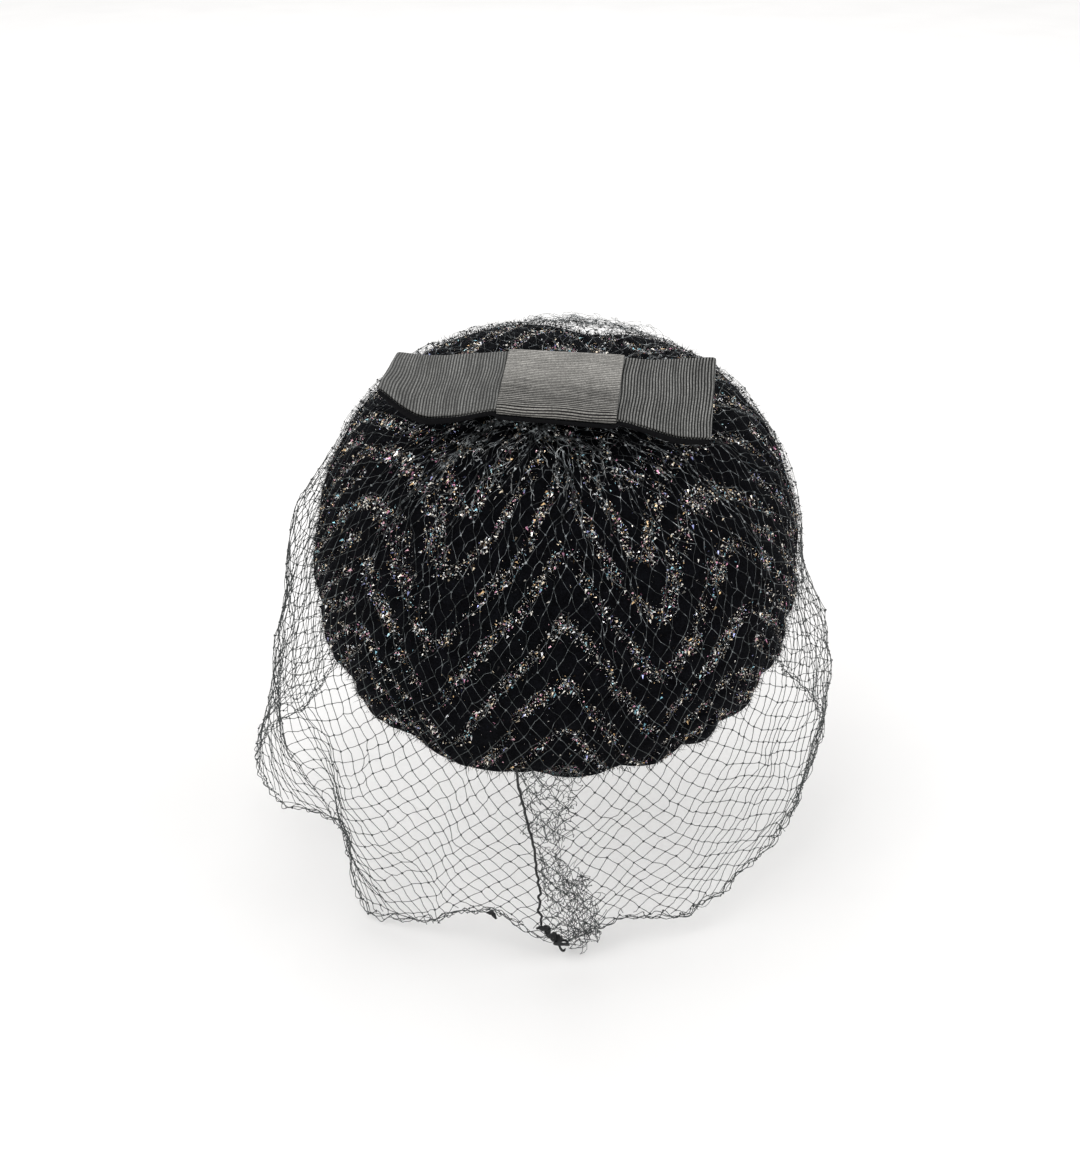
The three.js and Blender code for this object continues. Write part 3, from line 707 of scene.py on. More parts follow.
def board_material(name, colour):
    """Matt painted board for the floor, a touch uneven in tone."""
    return fibre_material(name, ((0.3, tuple(c * 0.97 for c in colour)), (0.7, colour)),
                          (90.0, 2.0, 0.5), None, {"Roughness": 0.9, "Specular IOR Level": 0.1})


# ------------------------------------------------------------------ sizes a user may change

def measure(name, description, default_mm, low=0.0):
    """A length that is stated in millimetres here and kept in metres."""
    return FloatProperty(name=name, description=description, default=default_mm * MM,
                         min=low * MM, unit="LENGTH", subtype="DISTANCE", precision=5)


def dye(name, description, code):
    """A colour, stated as hex sRGB."""
    return FloatVectorProperty(name=name, description=description, default=linear(code),
                               subtype="COLOR", min=0, max=1)


def whole(name, description, default, low=0):
    """A whole number."""
    return IntProperty(name=name, description=description, default=default, min=low)


class StageSizes(bpy.types.PropertyGroup):
    """Floor, camera and lights"""

    floor_drop: measure("Floor drop", "Gap between the veil's lowest point and the floor", 1.5)
    floor_colour: dye("Floor colour", "Pale matt floor", "#fbfaf9")
    distance: measure("Camera distance", "From the middle of the cap's rim", 590, 100)
    elevation: FloatProperty(name="Camera elevation", description="Above the horizon",
                             default=math.radians(28), subtype="ANGLE", unit="ROTATION")
    key: FloatProperty(name="Key light", description="Power of the large soft light",
                       default=9.0, min=0, unit="POWER")
    fill: FloatProperty(name="Fill light", description="Power of the light from the other side",
                        default=4.0, min=0, unit="POWER")
    sky: FloatProperty(name="Surround", description="Strength of the white surround",
                       default=0.95, min=0)


class CapSizes(bpy.types.PropertyGroup):
    """Velvet cap, its pile and its lurex"""

    stripe_pitch: measure("Stripe pitch", "Zigzag stripes, measured down the cap", 21, 5)
    groove: measure("Groove width", "Glittering groove between two pile bars", 4.2, 0.5)
    bar_height: measure("Bar height", "Pile bars over the grooves", 1.0)
    pile_length: measure("Pile length", "Loose fibres of the pile", 1.6, 0.1)
    pile_count: whole("Pile fibres", "Fibres in a square centimetre", 85)
    fleck_length: measure("Fleck length", "Lurex slivers that lie open", 0.82, 0.1)
    fleck_count: whole("Lurex flecks", "Open slivers in a square centimetre of groove", 150)
    glint_length: measure("Glint length", "Lurex slivers half sunk in the pile", 0.4, 0.1)
    glint_count: whole("Lurex glints", "Sunk slivers in a square centimetre of groove", 250)
    velvet: dye("Velvet", "Pile seen straight on", "#020203")
    # Painted sheen: the lighter colour of the velvet's random patches.
    velvet_painted_sheen: dye("Velvet painted sheen", "Painted sheen where the pile leans over", "#0d0e12")
    seed: whole("Seed", "Changes the scattered fibres and flecks", 7)


class NetSizes(bpy.types.PropertyGroup):
    """Net veil and its threads"""

    cell: measure("Cell side", "Side of one diamond of the net", 4.9, 2)
    cells_round: whole("Cells round", "Diamonds round the veil", 92, 12)
    thread: measure("Thread thickness", "Nylon thread of the net", 0.28, 0.1)
    knot: measure("Knot size", "Width of a net knot", 0.84, 0.1)
    crumple: measure("Crumple", "Disorder of the gathered net by the bow", 1.0)
    net: dye("Net", "Nylon thread", "#3b4241")
    net_dark: dye("Net shade", "Nylon thread, darker lengths", "#1b1f20")
    # Painted highlight: the lighter colour of the thread over the velvet.
    net_painted_highlight: dye("Net on the crown", "Painted highlight of the thread over the velvet", "#7b8184")
    seed: whole("Seed", "Changes the net's small bends", 3)


class ThreadSizes(bpy.types.PropertyGroup):
    """Seam thread and knots"""

    seam: measure("Seam thread", "Thickness of the drawing thread down the back", 0.9, 0.3)
    ply: measure("Ply length", "Run of one turn of the twisted thread", 2.6, 0.5)
    cotton: dye("Cotton", "Drawing thread and its knots", "#1b1c1f")
    # Painted shade: the darker colour stands in for shade between the plies.
    cotton_painted_shade: dye("Cotton painted shade", "Painted shade between the plies", "#060607")


class BowSizes(bpy.types.PropertyGroup):
    """Grosgrain bow"""

    width: measure("Ribbon width", "Grosgrain ribbon of the loops", 32, 5)
    thickness: measure("Ribbon thickness", "Cloth without its ribs", 0.6, 0.2)
    rib_pitch: measure("Rib pitch", "Cross ribs of the grosgrain", 0.92, 0.4)
    rib_height: measure("Rib height", "Height of a rib", 0.26)
    loops: dye("Loops", "Grosgrain of the two loops", "#626260")
    band: dye("Band", "Grosgrain of the middle band", "#868480")


class CombSizes(bpy.types.PropertyGroup):
    """Comb inside the front edge"""

    comb: dye("Comb", "Dark acetate", "#1c1613")


# ------------------------------------------------------------------ cap

DOME_MEAN = 80.0  # the fabric's run over the crown, mm for each radian from the pole

# The zigzag stripe: its height at places across the cloth, mm. Over the crown the cloth is drawn
# together, so that the places lie closer near the pole.
ZIGZAG = np.array([(-130, 4), (-66, -6), (-37, 46), (-3.5, 0), (44, 54), (71, -3), (130, 9)], float)
ZIGZAG_START = 29.5
DRAWN_IN = np.array([(0, 0.5), (38, 0.66), (61, 0.88), (81, 1.0), (90, 1.05), (110, 1.03)])
SIDE_RUNS = (66, 80)  # the flat runs beyond this, across the cloth, have twice as many stripes

CROWN_DENT = 3.8  # the crown sinks in a short valley that runs forward from the bow, mm
LINING_DENT = 2.8  # the lining sinks less, and stays clear of the comb
DENT_ACROSS = -0.15  # its place and half width across the cap, as shares of the cap's radius
DENT_HALF_WIDTH = 0.16
LINING_OUT = 0.2 - WALL  # the lining, from the cap's smooth outside
POLE_OUT = 0.2  # the pile at the dome's pole

# Loose fibres and slivers are drawn thicker and fewer than real, so that they show.
FIBRE_RADIUS = 0.09
PER_CM2 = 1e4  # turns a count in a square centimetre into one in a square metre


def zigzag(across):
    """Height of a stripe across the cloth, with its points a little rounded."""
    return rounded(across, ZIGZAG, 1, 3.5, 5)


def stripe_distance(around, from_pole, pitch):
    """Distance in mm from the middle of the nearest glitter stripe, over the cap."""
    run = DOME_MEAN * from_pole
    drawn = np.interp(run, DRAWN_IN[:, 0], DRAWN_IN[:, 1])
    across = run * np.sin(around) / drawn
    down = run * np.cos(around)
    wander = (1.3 * np.sin(across / 9.0 + down / 13.0) + 0.9 * np.sin(down / 5.3 - across / 7.1)
              + 0.6 * np.sin(across / 3.1 + 2 * np.sin(down / 8.0)))
    place = (down + wander - zigzag(across) - ZIGZAG_START) / pitch
    slope = (zigzag(across + 0.5) - zigzag(across - 0.5)) / drawn
    lean = np.sqrt(1 + slope ** 2)
    gap = np.abs(place - np.round(place)) * pitch / lean
    between = np.abs(place - 0.5 - np.round(place - 0.5)) * pitch / lean
    outer = smoothstep(*SIDE_RUNS, np.abs(across))
    return np.where(outer > 0.5, np.minimum(gap, between), gap)


def blurred(field):
    """A grid of numbers evened out a little with its neighbours, round and down."""
    field = (field + np.roll(field, 1, 1) + np.roll(field, -1, 1)) / 3
    field[1:-1] = (field[:-2] + field[1:-1] + field[2:]) / 3
    return field


def cap_shell(rings, around, out, sunk):
    """One smooth shell of the cap: its directions from the middle and its height, in mm."""
    share = np.broadcast_to((np.arange(1, rings + 1) / rings)[:, None], (rings, len(around)))
    around = np.broadcast_to(around, share.shape)
    toward = direction(around, share * math.pi / 2)
    toward[..., :2] *= scallop(np.degrees(around), share)[..., None]
    dent = bell(toward[..., 0] - DENT_ACROSS, DENT_HALF_WIDTH)
    dent *= smoothstep(0.1, 0.45, -toward[..., 1]) * (1 - smoothstep(0.82, 0.97, share))
    return around, share, toward, out - sunk * dent


def piled(sizes, around, share):
    """The pile's height over the smooth cap, and how thickly lurex shows at each point.

    The pile stands in bars between grooves with ragged edges, and lies a little unevenly. The
    lurex shows in the grooves, in clumps, and more of it shows towards the front.
    """
    rng = np.random.default_rng(sizes.seed)
    groove = sizes.groove / MM / 2
    patchy, clumps, ragged = (rng.normal(size=share.shape) for _ in range(3))
    for _ in range(10):
        patchy = blurred(patchy)
    patchy /= patchy.std()
    clumps = blurred(blurred(clumps))
    clumps /= clumps.std()
    away = stripe_distance(around, share * math.pi / 2, sizes.stripe_pitch / MM)
    away = np.maximum(away + 0.9 * blurred(ragged), 0)
    bar = smoothstep(groove * 0.55, groove * 1.7, away)
    fade = 1 - smoothstep(0.985, 1.0, share)  # the pile ends at the rim
    soft = blurred(blurred(rng.normal(size=share.shape)))
    pile = (sizes.bar_height / MM * (bar - 0.35) + 0.45 * soft) * fade
    lurex = 1 - smoothstep(groove * 0.6, groove * 1.35, away)
    lurex *= np.clip(0.95 + 0.3 * patchy, 0.4, 1.7) * np.clip(1 + 0.5 * clumps, 0.15, 2.5)
    lurex = lurex * (0.4 + 0.6 * fade) + 0.02
    return pile, lurex * (1 + smoothstep(0.3, 0.8, -np.cos(around)) * share)


def build_cap(sizes):
    """The velvet shell: pile bars outside with sunk stripes, and a lining inside."""
    columns, outer_rings, inner_rings = 360, 126, 24
    turns = np.arange(columns) / columns * TURN
    around, share, toward, height = cap_shell(outer_rings, turns, 0, CROWN_DENT)
    pile, lurex = piled(sizes, around, share)
    outer = on_dome(toward, height + pile)
    inner = on_dome(*cap_shell(inner_rings, turns, LINING_OUT, LINING_DENT)[2:])
    pole = np.array([0.0, 0.0, 1.0])
    points = [on_dome(pole, np.array(POLE_OUT))[None], outer.reshape(-1, 3),
              on_dome(pole, np.array(LINING_OUT))[None], inner.reshape(-1, 3)]
    first_inner = 1 + outer_rings * columns

    def at(first, ring, i):
        return first + 1 + ring * columns + i % columns

    faces, kinds = [], []
    for first, rings, kind in ((0, outer_rings, 0), (first_inner, inner_rings, 1)):
        for i in range(columns):
            strip = [[first, at(first, 0, i + 1), at(first, 0, i)]]
            strip += [[at(first, ring, i), at(first, ring, i + 1), at(first, ring + 1, i + 1),
                       at(first, ring + 1, i)] for ring in range(rings - 1)]
            faces += [face[::-1] for face in strip] if kind else strip
            kinds += [kind] * rings
    for i in range(columns):
        faces.append([at(0, outer_rings - 1, i), at(0, outer_rings - 1, i + 1),
                      at(first_inner, inner_rings - 1, i + 1),
                      at(first_inner, inner_rings - 1, i)])
        kinds.append(0)
    cap = mesh_object("cap_velvet", np.concatenate(points), faces)
    cap.data.materials.append(velvet_material("velvet_woven_pile", sizes))
    cap.data.materials.append(lining_material("lining_cotton_woven"))
    cap.data.polygons.foreach_set("material_index", kinds)
    return cap, np.concatenate([[0], lurex.ravel()])


def scatter_over(cap, shares, name, values):
    """Scatters over the outside of the cap, as thickly as each of its points has a share."""
    source = cap.copy()
    source.data = cap.data.copy()
    source.name = name + "_source"
    bpy.context.scene.collection.objects.link(source)
    lining = np.zeros(len(source.data.vertices) - len(shares))
    point_values(source, "share", np.concatenate([shares, lining]))
    made = grown(source, scatter_tree(), values, name)
    bpy.data.objects.remove(source)
    return made


class FASCINATOR_OT_cap(bpy.types.Operator):
    """Make the striped velvet cap with its loose pile and lurex flecks"""

    bl_idname = "fascinator.cap"
    bl_label = "Velvet Cap"

    def execute(self, context):
        sizes = context.scene.fascinator_cap
        cap, lurex = build_cap(sizes)
        pieces = [cap, scatter_over(cap, 1 - 0.9 * lurex, "velvet_pile", {
            "Material": velvet_material("velvet_loose_fibres", sizes), "Seed": sizes.seed,
            "Per square metre": sizes.pile_count * PER_CM2, "Radius": FIBRE_RADIUS * MM,
            "Length": sizes.pile_length, "Lift": sizes.pile_length * 0.25, "Flatness": 0.6,
            "Lean": 0.75, "Lie down": 0.0})]
        film = lurex_material("lurex_slit_film")
        for name, shift, many, length, lift in (
                ("lurex_flecks", 1, sizes.fleck_count, sizes.fleck_length, 0.3),
                ("lurex_glints", 2, sizes.glint_count, sizes.glint_length, 0.2)):
            pieces.append(scatter_over(cap, lurex, name, {
                "Material": film, "Seed": sizes.seed + shift,
                "Per square metre": many * PER_CM2, "Radius": length * 0.34, "Length": length,
                "Lift": lift * MM, "Flatness": 0.3, "Lean": 0.65, "Lie down": math.pi / 2}))
        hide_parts("cap")
        for piece in pieces:
            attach(piece, "root")
        return {"FINISHED"}


# ------------------------------------------------------------------ net

# Soft folds of the free net: degrees round from the back where the fold starts, degrees that it
# drifts by the hem, width in degrees, how far it stands out in mm, and how much its cells bunch.
FOLDS = np.array([
    (38, 16, 5.5, 2.6, 0.3), (102, -41, 4.0, 4.4, 0.75), (118, 4, 9.0, 2.6, 0.3),
    (150, -5, 10.0, 2.8, 0.2), (184, 5, 9.0, 2.6, 0.3), (216, -4, 8.0, 2.6, 0.2),
    (246, 6, 7.5, 2.4, 0.3), (272, -6, 6.0, 2.4, 0.4), (296, -14, 5.0, 2.8, 0.4),
    (318, -16, 5.0, 2.4, 0.3), (338, -10, 5.0, 2.0, 0.25), (18, 8, 5.0, 1.6, 0.2),
], float)

# Where the net is fuller or slacker than its folds: degrees round, share of the way down, width
# in degrees, reach down and how far it stands out in mm.
PUSHES = np.array([(98, 0.6, 15, 0.07, 4.2), (96, 0.79, 10, 0.05, -2.0)])

PLEATS = 23  # bunches of threads that run out from the gather
PLEAT_PULL = 0.8
GATHER_START = 0.035  # share of the way down where the net's first row of knots lies
THREAD_BENDS = 2  # lengths that a thread is drawn in from one knot to the next


def folded(around, t):
    """How far the free net's folds stand out in mm, and its angle once its cells have bunched."""
    degrees = np.degrees(around)
    down = smoothstep(SHARE_ON_CAP, 1.0, t)
    height = np.zeros(np.broadcast(around, t).shape)
    drawn = np.zeros_like(height)
    for start, drift, width, stand, bunch in FOLDS:
        away = np.mod(degrees - start - drift * down + 180, 360) - 180
        height += stand * down * (bell(away, width) - 0.35 * bell(away, 2 * width))
        drawn -= bunch * smoothstep(0, 0.35, down) * away * bell(away, width)
    for middle, place, width, reach, stand in PUSHES:
        away = np.mod(degrees - middle + 180, 360) - 180
        height += stand * bell(away, width) * bell(t - place, reach)
    near = 1 - smoothstep(0.08, SHARE_ON_CAP, t)
    pleat = PLEAT_PULL / PLEATS * near * np.sin(PLEATS * around + 2.5 * np.sin(3 * around + 1))
    return height, around + np.radians(drawn) + pleat


def lay_net(sizes):
    """Rows of knots with an even cell side: the share of the way down of each, by its column."""
    columns = 2 * sizes.cells_round
    side = sizes.cell / MM
    around = np.arange(columns) * TURN / columns
    t_fine = np.linspace(0, 1, 401)
    line = net_point(around[:, None], t_fine[None, :])
    run = np.concatenate([np.zeros((columns, 1)),
                          np.cumsum(np.linalg.norm(np.diff(line, axis=1), axis=-1), axis=1)], 1)
    t = np.full(columns, GATHER_START)
    rows = [t]
    while (t < 1).any() and len(rows) < 100:
        here = net_point(around, np.minimum(t, 1))
        width = 0.5 * (np.linalg.norm(here - np.roll(here, 1, 0), axis=-1)
                       + np.linalg.norm(here - np.roll(here, -1, 0), axis=-1))
        step = np.sqrt(np.maximum(side ** 2 - width ** 2, (0.45 * side) ** 2))
        for _ in range(2):
            step = (np.roll(step, 1) + step + np.roll(step, -1)) / 3
        fresh = t.copy()
        for k in np.nonzero(t < 1)[0]:
            target = np.interp(t[k], t_fine, run[k]) + step[k]
            over = target - run[k, -1]
            fresh[k] = np.interp(target, run[k], t_fine) if over < 0 else 1 + over / run[k, -1]
        t = fresh
        rows.append(t)
    return np.array(rows)


def smooth_random(rng, shape, passes=2):
    """Random vectors that change smoothly down the rows and round the columns."""
    field = rng.normal(size=shape)
    for _ in range(passes):
        field = (np.roll(field, 1, 1) + 2 * field + np.roll(field, -1, 1)) / 4
        field[1:-1] = (field[:-2] + 2 * field[1:-1] + field[2:]) / 4
    return field / field.std()


def net_place(around, t, shift, crumple):
    """Points of the net with its folds, its small bends and the disorder near the gather."""
    height, around = folded(around, t)
    point = net_point(around, t)
    normal = net_normal(around, t)
    bends = shift * (1 + 0.9 * crumple * bell(t, 0.16))[..., None]
    off = (bends * normal).sum(-1)
    free = smoothstep(SHARE_ON_CAP, SHARE_ON_CAP + 0.08, t)
    stand = off * free + np.minimum(0.7 * np.abs(off), 1.7) * (1 - free) + height
    return point + bends + normal * (stand - off)[..., None]


def crown_share(t):
    """1 over the crown and 0 on the free net, with a smooth change where it leaves the cap."""
    return 1 - smoothstep(SHARE_ON_CAP - 0.06, SHARE_ON_CAP + 0.06, t)


def build_net(sizes):
    """The veil's net: two sets of threads that cross at its knots, from the gather to the hem."""
    rng = np.random.default_rng(sizes.seed)
    rows = lay_net(sizes)
    count, columns = rows.shape
    node_shift = (0.95 * smooth_random(rng, (count, columns, 3), 14)
                  + 0.45 * smooth_random(rng, (count, columns, 3), 3)
                  + 0.28 * rng.normal(size=(count, columns, 3)))
    node_shift *= (1 + 0.55 * crown_share(rows))[..., None]
    tracks, edges, total = [], [], 0  # a track is angle, share and shift at each of its points
    for first in range(0, columns, 2):
        for way in (1, -1):
            row = np.arange(count)
            column = first + way * row
            track = np.c_[column * TURN / columns, rows[row, column % columns],
                          node_shift[row, column % columns]]
            over = np.nonzero(track[:, 1] >= 1)[0]
            if len(over):  # the thread is cut at the hem
                last, before = track[over[0]], track[over[0] - 1]
                cut = (1 - before[1]) / max(last[1] - before[1], 1e-6)
                last[:2] = before[0] + cut * (last[0] - before[0]), 1.0
                track = track[:over[0] + 1]
            places = np.arange((len(track) - 1) * THREAD_BENDS + 1) / THREAD_BENDS
            track = np.stack([np.interp(places, row[:len(track)], part) for part in track.T], -1)
            loose = rng.normal(size=(len(track), 3)) * (0.2 + 0.3 * crown_share(track[:, 1:2]))
            loose[::THREAD_BENDS] = 0
            track[:, 2:] += loose
            tracks.append(track)
            edges += [(total + k, total + k + 1) for k in range(len(track) - 1)]
            total += len(track)
    row, column = np.nonzero(
        ((np.arange(count)[:, None] + np.arange(columns)[None, :]) % 2 == 0) & (rows < 1))
    tracks.append(np.c_[column * TURN / columns, rows[row, column], node_shift[row, column]])
    angle, down, *shift = np.concatenate(tracks).T
    lines = mesh_object("net_lines", net_place(angle, down, np.stack(shift, -1),
                                               sizes.crumple / MM), edges=edges)
    point_values(lines, "knot", np.arange(len(down)) >= total)
    on_cap = 1 - smoothstep(SHARE_ON_CAP, SHARE_ON_CAP + 0.12, down)
    point_values(lines, "crown", on_cap + 0.35 * bell(down, 0.15))
    # Share of painted highlight: full over the crown near the gather, less further down the cap,
    # none on the free net.
    point_values(lines, "painted_highlight_share", on_cap * (1 - 0.6 * smoothstep(0.16, 0.42, down)))
    return lines


def seam_angle(t):
    """Where the seam runs, in radians round from the back, with its bends rounded."""
    return np.radians(rounded(t, SEAM, 1, 0.03, 5))


def crumpled_sheet(rng, rows, columns, t_ends, widths, start, stand_mm, jitter):
    """One crumpled lattice beside the seam: its knots, its bends and the lines between them."""
    row, column = np.meshgrid(np.arange(rows), np.arange(columns), indexing="ij")
    share = row / (rows - 1)
    across_share = column / (columns - 1)
    t = t_ends[0] + share * (t_ends[1] - t_ends[0])
    seam = seam_angle(t)
    width = widths[0] + share * (widths[1] - widths[0])
    around = seam - (start + across_share * width) / HEM[0, REACH]
    wave = 0.5 - 0.5 * np.cos(across_share * rng.uniform(2, 4) * TURN + share * 2.5)
    stand = 0.3 + wave * (0.35 + share) * stand_mm
    shift = (smooth_random(rng, (rows, columns, 3), 2) * 1.0
             + rng.normal(size=(rows, columns, 3)) * 0.12) * jitter
    point = net_point(around, t) + net_normal(around, t) * stand[..., None] + shift
    bow = (smooth_random(rng, (rows, columns, 3), 1) * 0.7).reshape(-1, 3)
    points = list(point.reshape(-1, 3))
    edges = []
    for r in range(rows - 1):
        for c in range(r % 2, columns, 2):
            for step in (-1, 1):
                if 0 <= c + step < columns:
                    a, b = r * columns + c, (r + 1) * columns + c + step
                    chain = [a, len(points), len(points) + 1, len(points) + 2, b]
                    for share_of in (0.25, 0.5, 0.75):
                        points.append(points[a] + (points[b] - points[a]) * share_of
                                      + bow[a] * 5.3 * share_of * (1 - share_of))
                    edges += list(zip(chain, chain[1:]))
    for _ in range(4):  # a thread that ends in the air is drawn back to its last knot
        ends, uses = np.unique(np.array(edges), return_counts=True)
        single = set(ends[uses == 1].tolist())
        edges = [edge for edge in edges if not single & set(edge)]
    knots = {k for edge in edges for k in edge if k < rows * columns}
    return points, edges, knots


def build_ruffle(sizes):
    """Crumpled end of the net beside the seam: thin under the rim, dense and full at the hem."""
    rng = np.random.default_rng(sizes.seed + 5)
    low, high = RUFFLE_SPAN
    sheets = [  # rows, columns, way down, widths, start, stand, jitter
        crumpled_sheet(rng, 19, 12, (low - 0.01, high + 0.05), (6, 23), 0.6, 2.6, 1.0),
        crumpled_sheet(rng, 16, 10, (low + 0.02, high + 0.06), (5, 20), 2.0, 3.2, 1.2),
        crumpled_sheet(rng, 13, 8, (low + 0.06, high + 0.07), (5, 12), 9.0, 3.6, 1.2),
        crumpled_sheet(rng, 8, 7, (0.8, 0.87), (6, 8), 8.0, 2.8, 1.1),
        crumpled_sheet(rng, 11, 8, (0.9, high + 0.1), (9, 9), 10.0, 3.6, 1.1),
        crumpled_sheet(rng, 15, 12, (0.565, 0.73), (27, 16), -2.0, 1.6, 1.0),
        crumpled_sheet(rng, 12, 9, (0.58, 0.71), (20, 11), 1.0, 1.8, 1.2)]
    points, edges, marks = [], [], []
    for spots, lines, knots in sheets:
        first = len(points)
        used = sorted({k for edge in lines for k in edge})
        order = {k: first + i for i, k in enumerate(used)}
        points += [spots[k] for k in used]
        marks += [float(k in knots) for k in used]
        edges += [(order[a], order[b]) for a, b in lines]
    for _ in range(10):  # frayed ends past the corner, and drawn strands under the rim
        below = rng.random() < 0.4
        k = np.linspace(0, 1, 9)
        t = (high + 0.06 * rng.random() - 0.03 * k) if below else (0.68 + 0.055 * k)
        offset = (17 + 8 * k * rng.random()) if below else (rng.uniform(3, 12) + 0 * k)
        seam = seam_angle(t)
        around = seam - offset / HEM[0, REACH]
        line = net_point(around, t) + net_normal(around, t) * rng.uniform(0.5, 3)
        line = line + np.cumsum(rng.normal(size=line.shape) * 0.22, 0)
        edges += [(len(points) + j, len(points) + j + 1) for j in range(len(line) - 1)]
        points += list(line)
        marks += [0.0] * len(line)
    obj = mesh_object("ruffle_lines", np.array(points), edges=edges)
    point_values(obj, "knot", marks)
    return obj


def curled(rng, angle, t, lift, curl):
    """A limp length of thread over the crown: a line that loops about its own way."""
    k = np.linspace(0, 1, len(t))
    base, normal = net_point(angle, t), net_normal(angle, t)
    way = unit(np.gradient(base, axis=0))
    side = np.cross(normal, way)
    phase = rng.uniform(0, TURN) + TURN * rng.uniform(0.4, 2.6) * k
    swing = curl * np.sin(math.pi * k) ** 0.5
    return (base + normal * (0.3 + lift * np.sin(math.pi * k))[:, None]
            + (way * np.cos(phase)[:, None] + side * np.sin(phase)[:, None]) * swing[:, None]
            + rng.normal(size=base.shape) * 0.08)


def share_to_t(share):
    """From a share of the way over the cap to one of the way from gather to hem."""
    return SHARE_ON_CAP * share ** (1 / CROWDING)


def build_gather(sizes):
    """Crushed net at the bow: limp lengths that fan out below it and stand up above it."""
    rng = np.random.default_rng(sizes.seed + 9)
    points, edges, silver = [], [], []

    def lay(line):
        first = len(points)
        points.extend(line)
        edges.extend((first + k, first + k + 1) for k in range(len(line) - 1))
        silver.extend([rng.random()] * len(line))

    k = np.linspace(0, 1, 22)
    for _ in range(48):  # below the bow, fanning out over the crown
        share = rng.uniform(0.1, 0.24)
        start, end = share_to_t(share), share_to_t(share + rng.uniform(0.03, 0.13))
        t = start + (end - start) * k
        angle = 0.2 + rng.normal() * 0.8 + rng.normal() * 0.12 * k
        lay(curled(rng, angle, t, rng.uniform(0.1, 2.2), rng.uniform(0.2, 1.5)))
    for _ in range(105):  # a loose lace edge over the top of the crown
        t = rng.uniform(0.325, 0.375) + rng.normal() * 0.012 * k
        angle = math.pi + rng.uniform(0.0, 0.42) + rng.uniform(-0.16, 0.16) * k
        lay(curled(rng, angle, t, rng.uniform(0.5, 3.6), rng.uniform(0.4, 1.8)))
    for _ in range(16):  # drawn strands that stand up beside the top edge of the bow
        t = 0.26 + rng.uniform(0.07, 0.1) * k
        angle = math.pi - 0.1 + rng.normal() * 0.03 + 0 * k
        lay(curled(rng, angle, t, rng.uniform(0.8, 2.2), rng.uniform(0.15, 0.5)))
    for _ in range(2):  # a stray loop over the corner of the band
        bow = np.sin(math.pi * k) * rng.uniform(0.8, 1.2)
        lay(on_bow(-20 - 10 * k, -15.8 - 1.8 * bow, 1.5 + 1.6 * bow))
    lines = mesh_object("gather_lines", np.array(points), edges=edges)
    # Every strand by the bow gets full painted highlight, and each gets its own random share of
    # painted glint from the shares listed in silver.
    point_values(lines, "painted_highlight_share", np.ones(len(points)))
    point_values(lines, "painted_glint_share", silver)
    return lines


# Turns that three of the hem's four threads make about its line in one round of the veil. The
# fourth is drawn through the cells, and makes one turn for each, a little flatter.
HEM_TURNS = (26, 39, 31)
HEM_STEPS = 8  # points for each cell of the net


def build_hem(sizes):
    """The gathered hem: four threads that cross and part, drawn through the last cells."""
    rng = np.random.default_rng(sizes.seed + 13)
    count = sizes.cells_round * HEM_STEPS
    around = np.arange(count) / count * TURN
    middle = net_point(around, np.ones(count))
    outward = np.stack([np.sin(around), np.cos(around), 0 * around], -1)
    down = np.array([0, 0, -1.0])
    points, edges, knots = [], [], []
    for strand, turns in enumerate((*HEM_TURNS, sizes.cells_round)):
        turn = around * turns + strand * 2.1
        reach = 1.0 if strand < len(HEM_TURNS) else 0.7
        wander = smooth_random(rng, (1, count, 3), 3)[0] * 0.45
        first = len(points)
        points.extend(middle + outward * (0.8 * np.cos(turn))[:, None]
                      + down * (0.5 + reach * np.sin(turn))[:, None] + wander)
        edges += [(first + k, first + (k + 1) % count) for k in range(count)]
        knots += [float(k % HEM_STEPS == 2 * strand) for k in range(count)]
    lines = mesh_object("hem_lines", np.array(points), edges=edges)
    point_values(lines, "knot", knots)
    return lines


class FASCINATOR_OT_veil(bpy.types.Operator):
    """Make the net veil, its crushed gather, its ruffle and its hem threads"""

    bl_idname = "fascinator.veil"
    bl_label = "Net Veil"

    def execute(self, context):
        sizes = context.scene.fascinator_net
        nylon = nylon_material("nylon_knotted_net", sizes)
        tree = thread_tree()
        made = {}
        for name, lines, thread, sides, knot in (
                ("net_veil", build_net(sizes), sizes.thread, 3, sizes.knot),
                ("net_ruffle", build_ruffle(sizes), sizes.thread * 0.7, 4, sizes.knot * 0.6),
                ("net_gather", build_gather(sizes), sizes.thread * 0.5, 3, 0),
                ("hem_threads", build_hem(sizes), sizes.thread * 1.05, 4, sizes.knot)):
            made[name] = grown(lines, tree, {
                "Thread radius": thread / 2, "Sides": sides, "Knot radius": knot / 2,
                "Seed": sizes.seed, "Material": nylon}, name)
            bpy.data.objects.remove(lines)
        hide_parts("veil")
        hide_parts("veil_ruffle")
        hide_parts("hem_thread")
        for piece in made.values():
            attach(piece, "root")
        return {"FINISHED"}


# ------------------------------------------------------------------ threads and knots

def quads(rings, sides, closed=False):
    """Faces between rings of points, one after another; closed joins the last to the first."""
    return [[k * sides + j, k * sides + (j + 1) % sides,
             (k + 1) % rings * sides + (j + 1) % sides, (k + 1) % rings * sides + j]
            for k in range(rings if closed else rings - 1) for j in range(sides)]


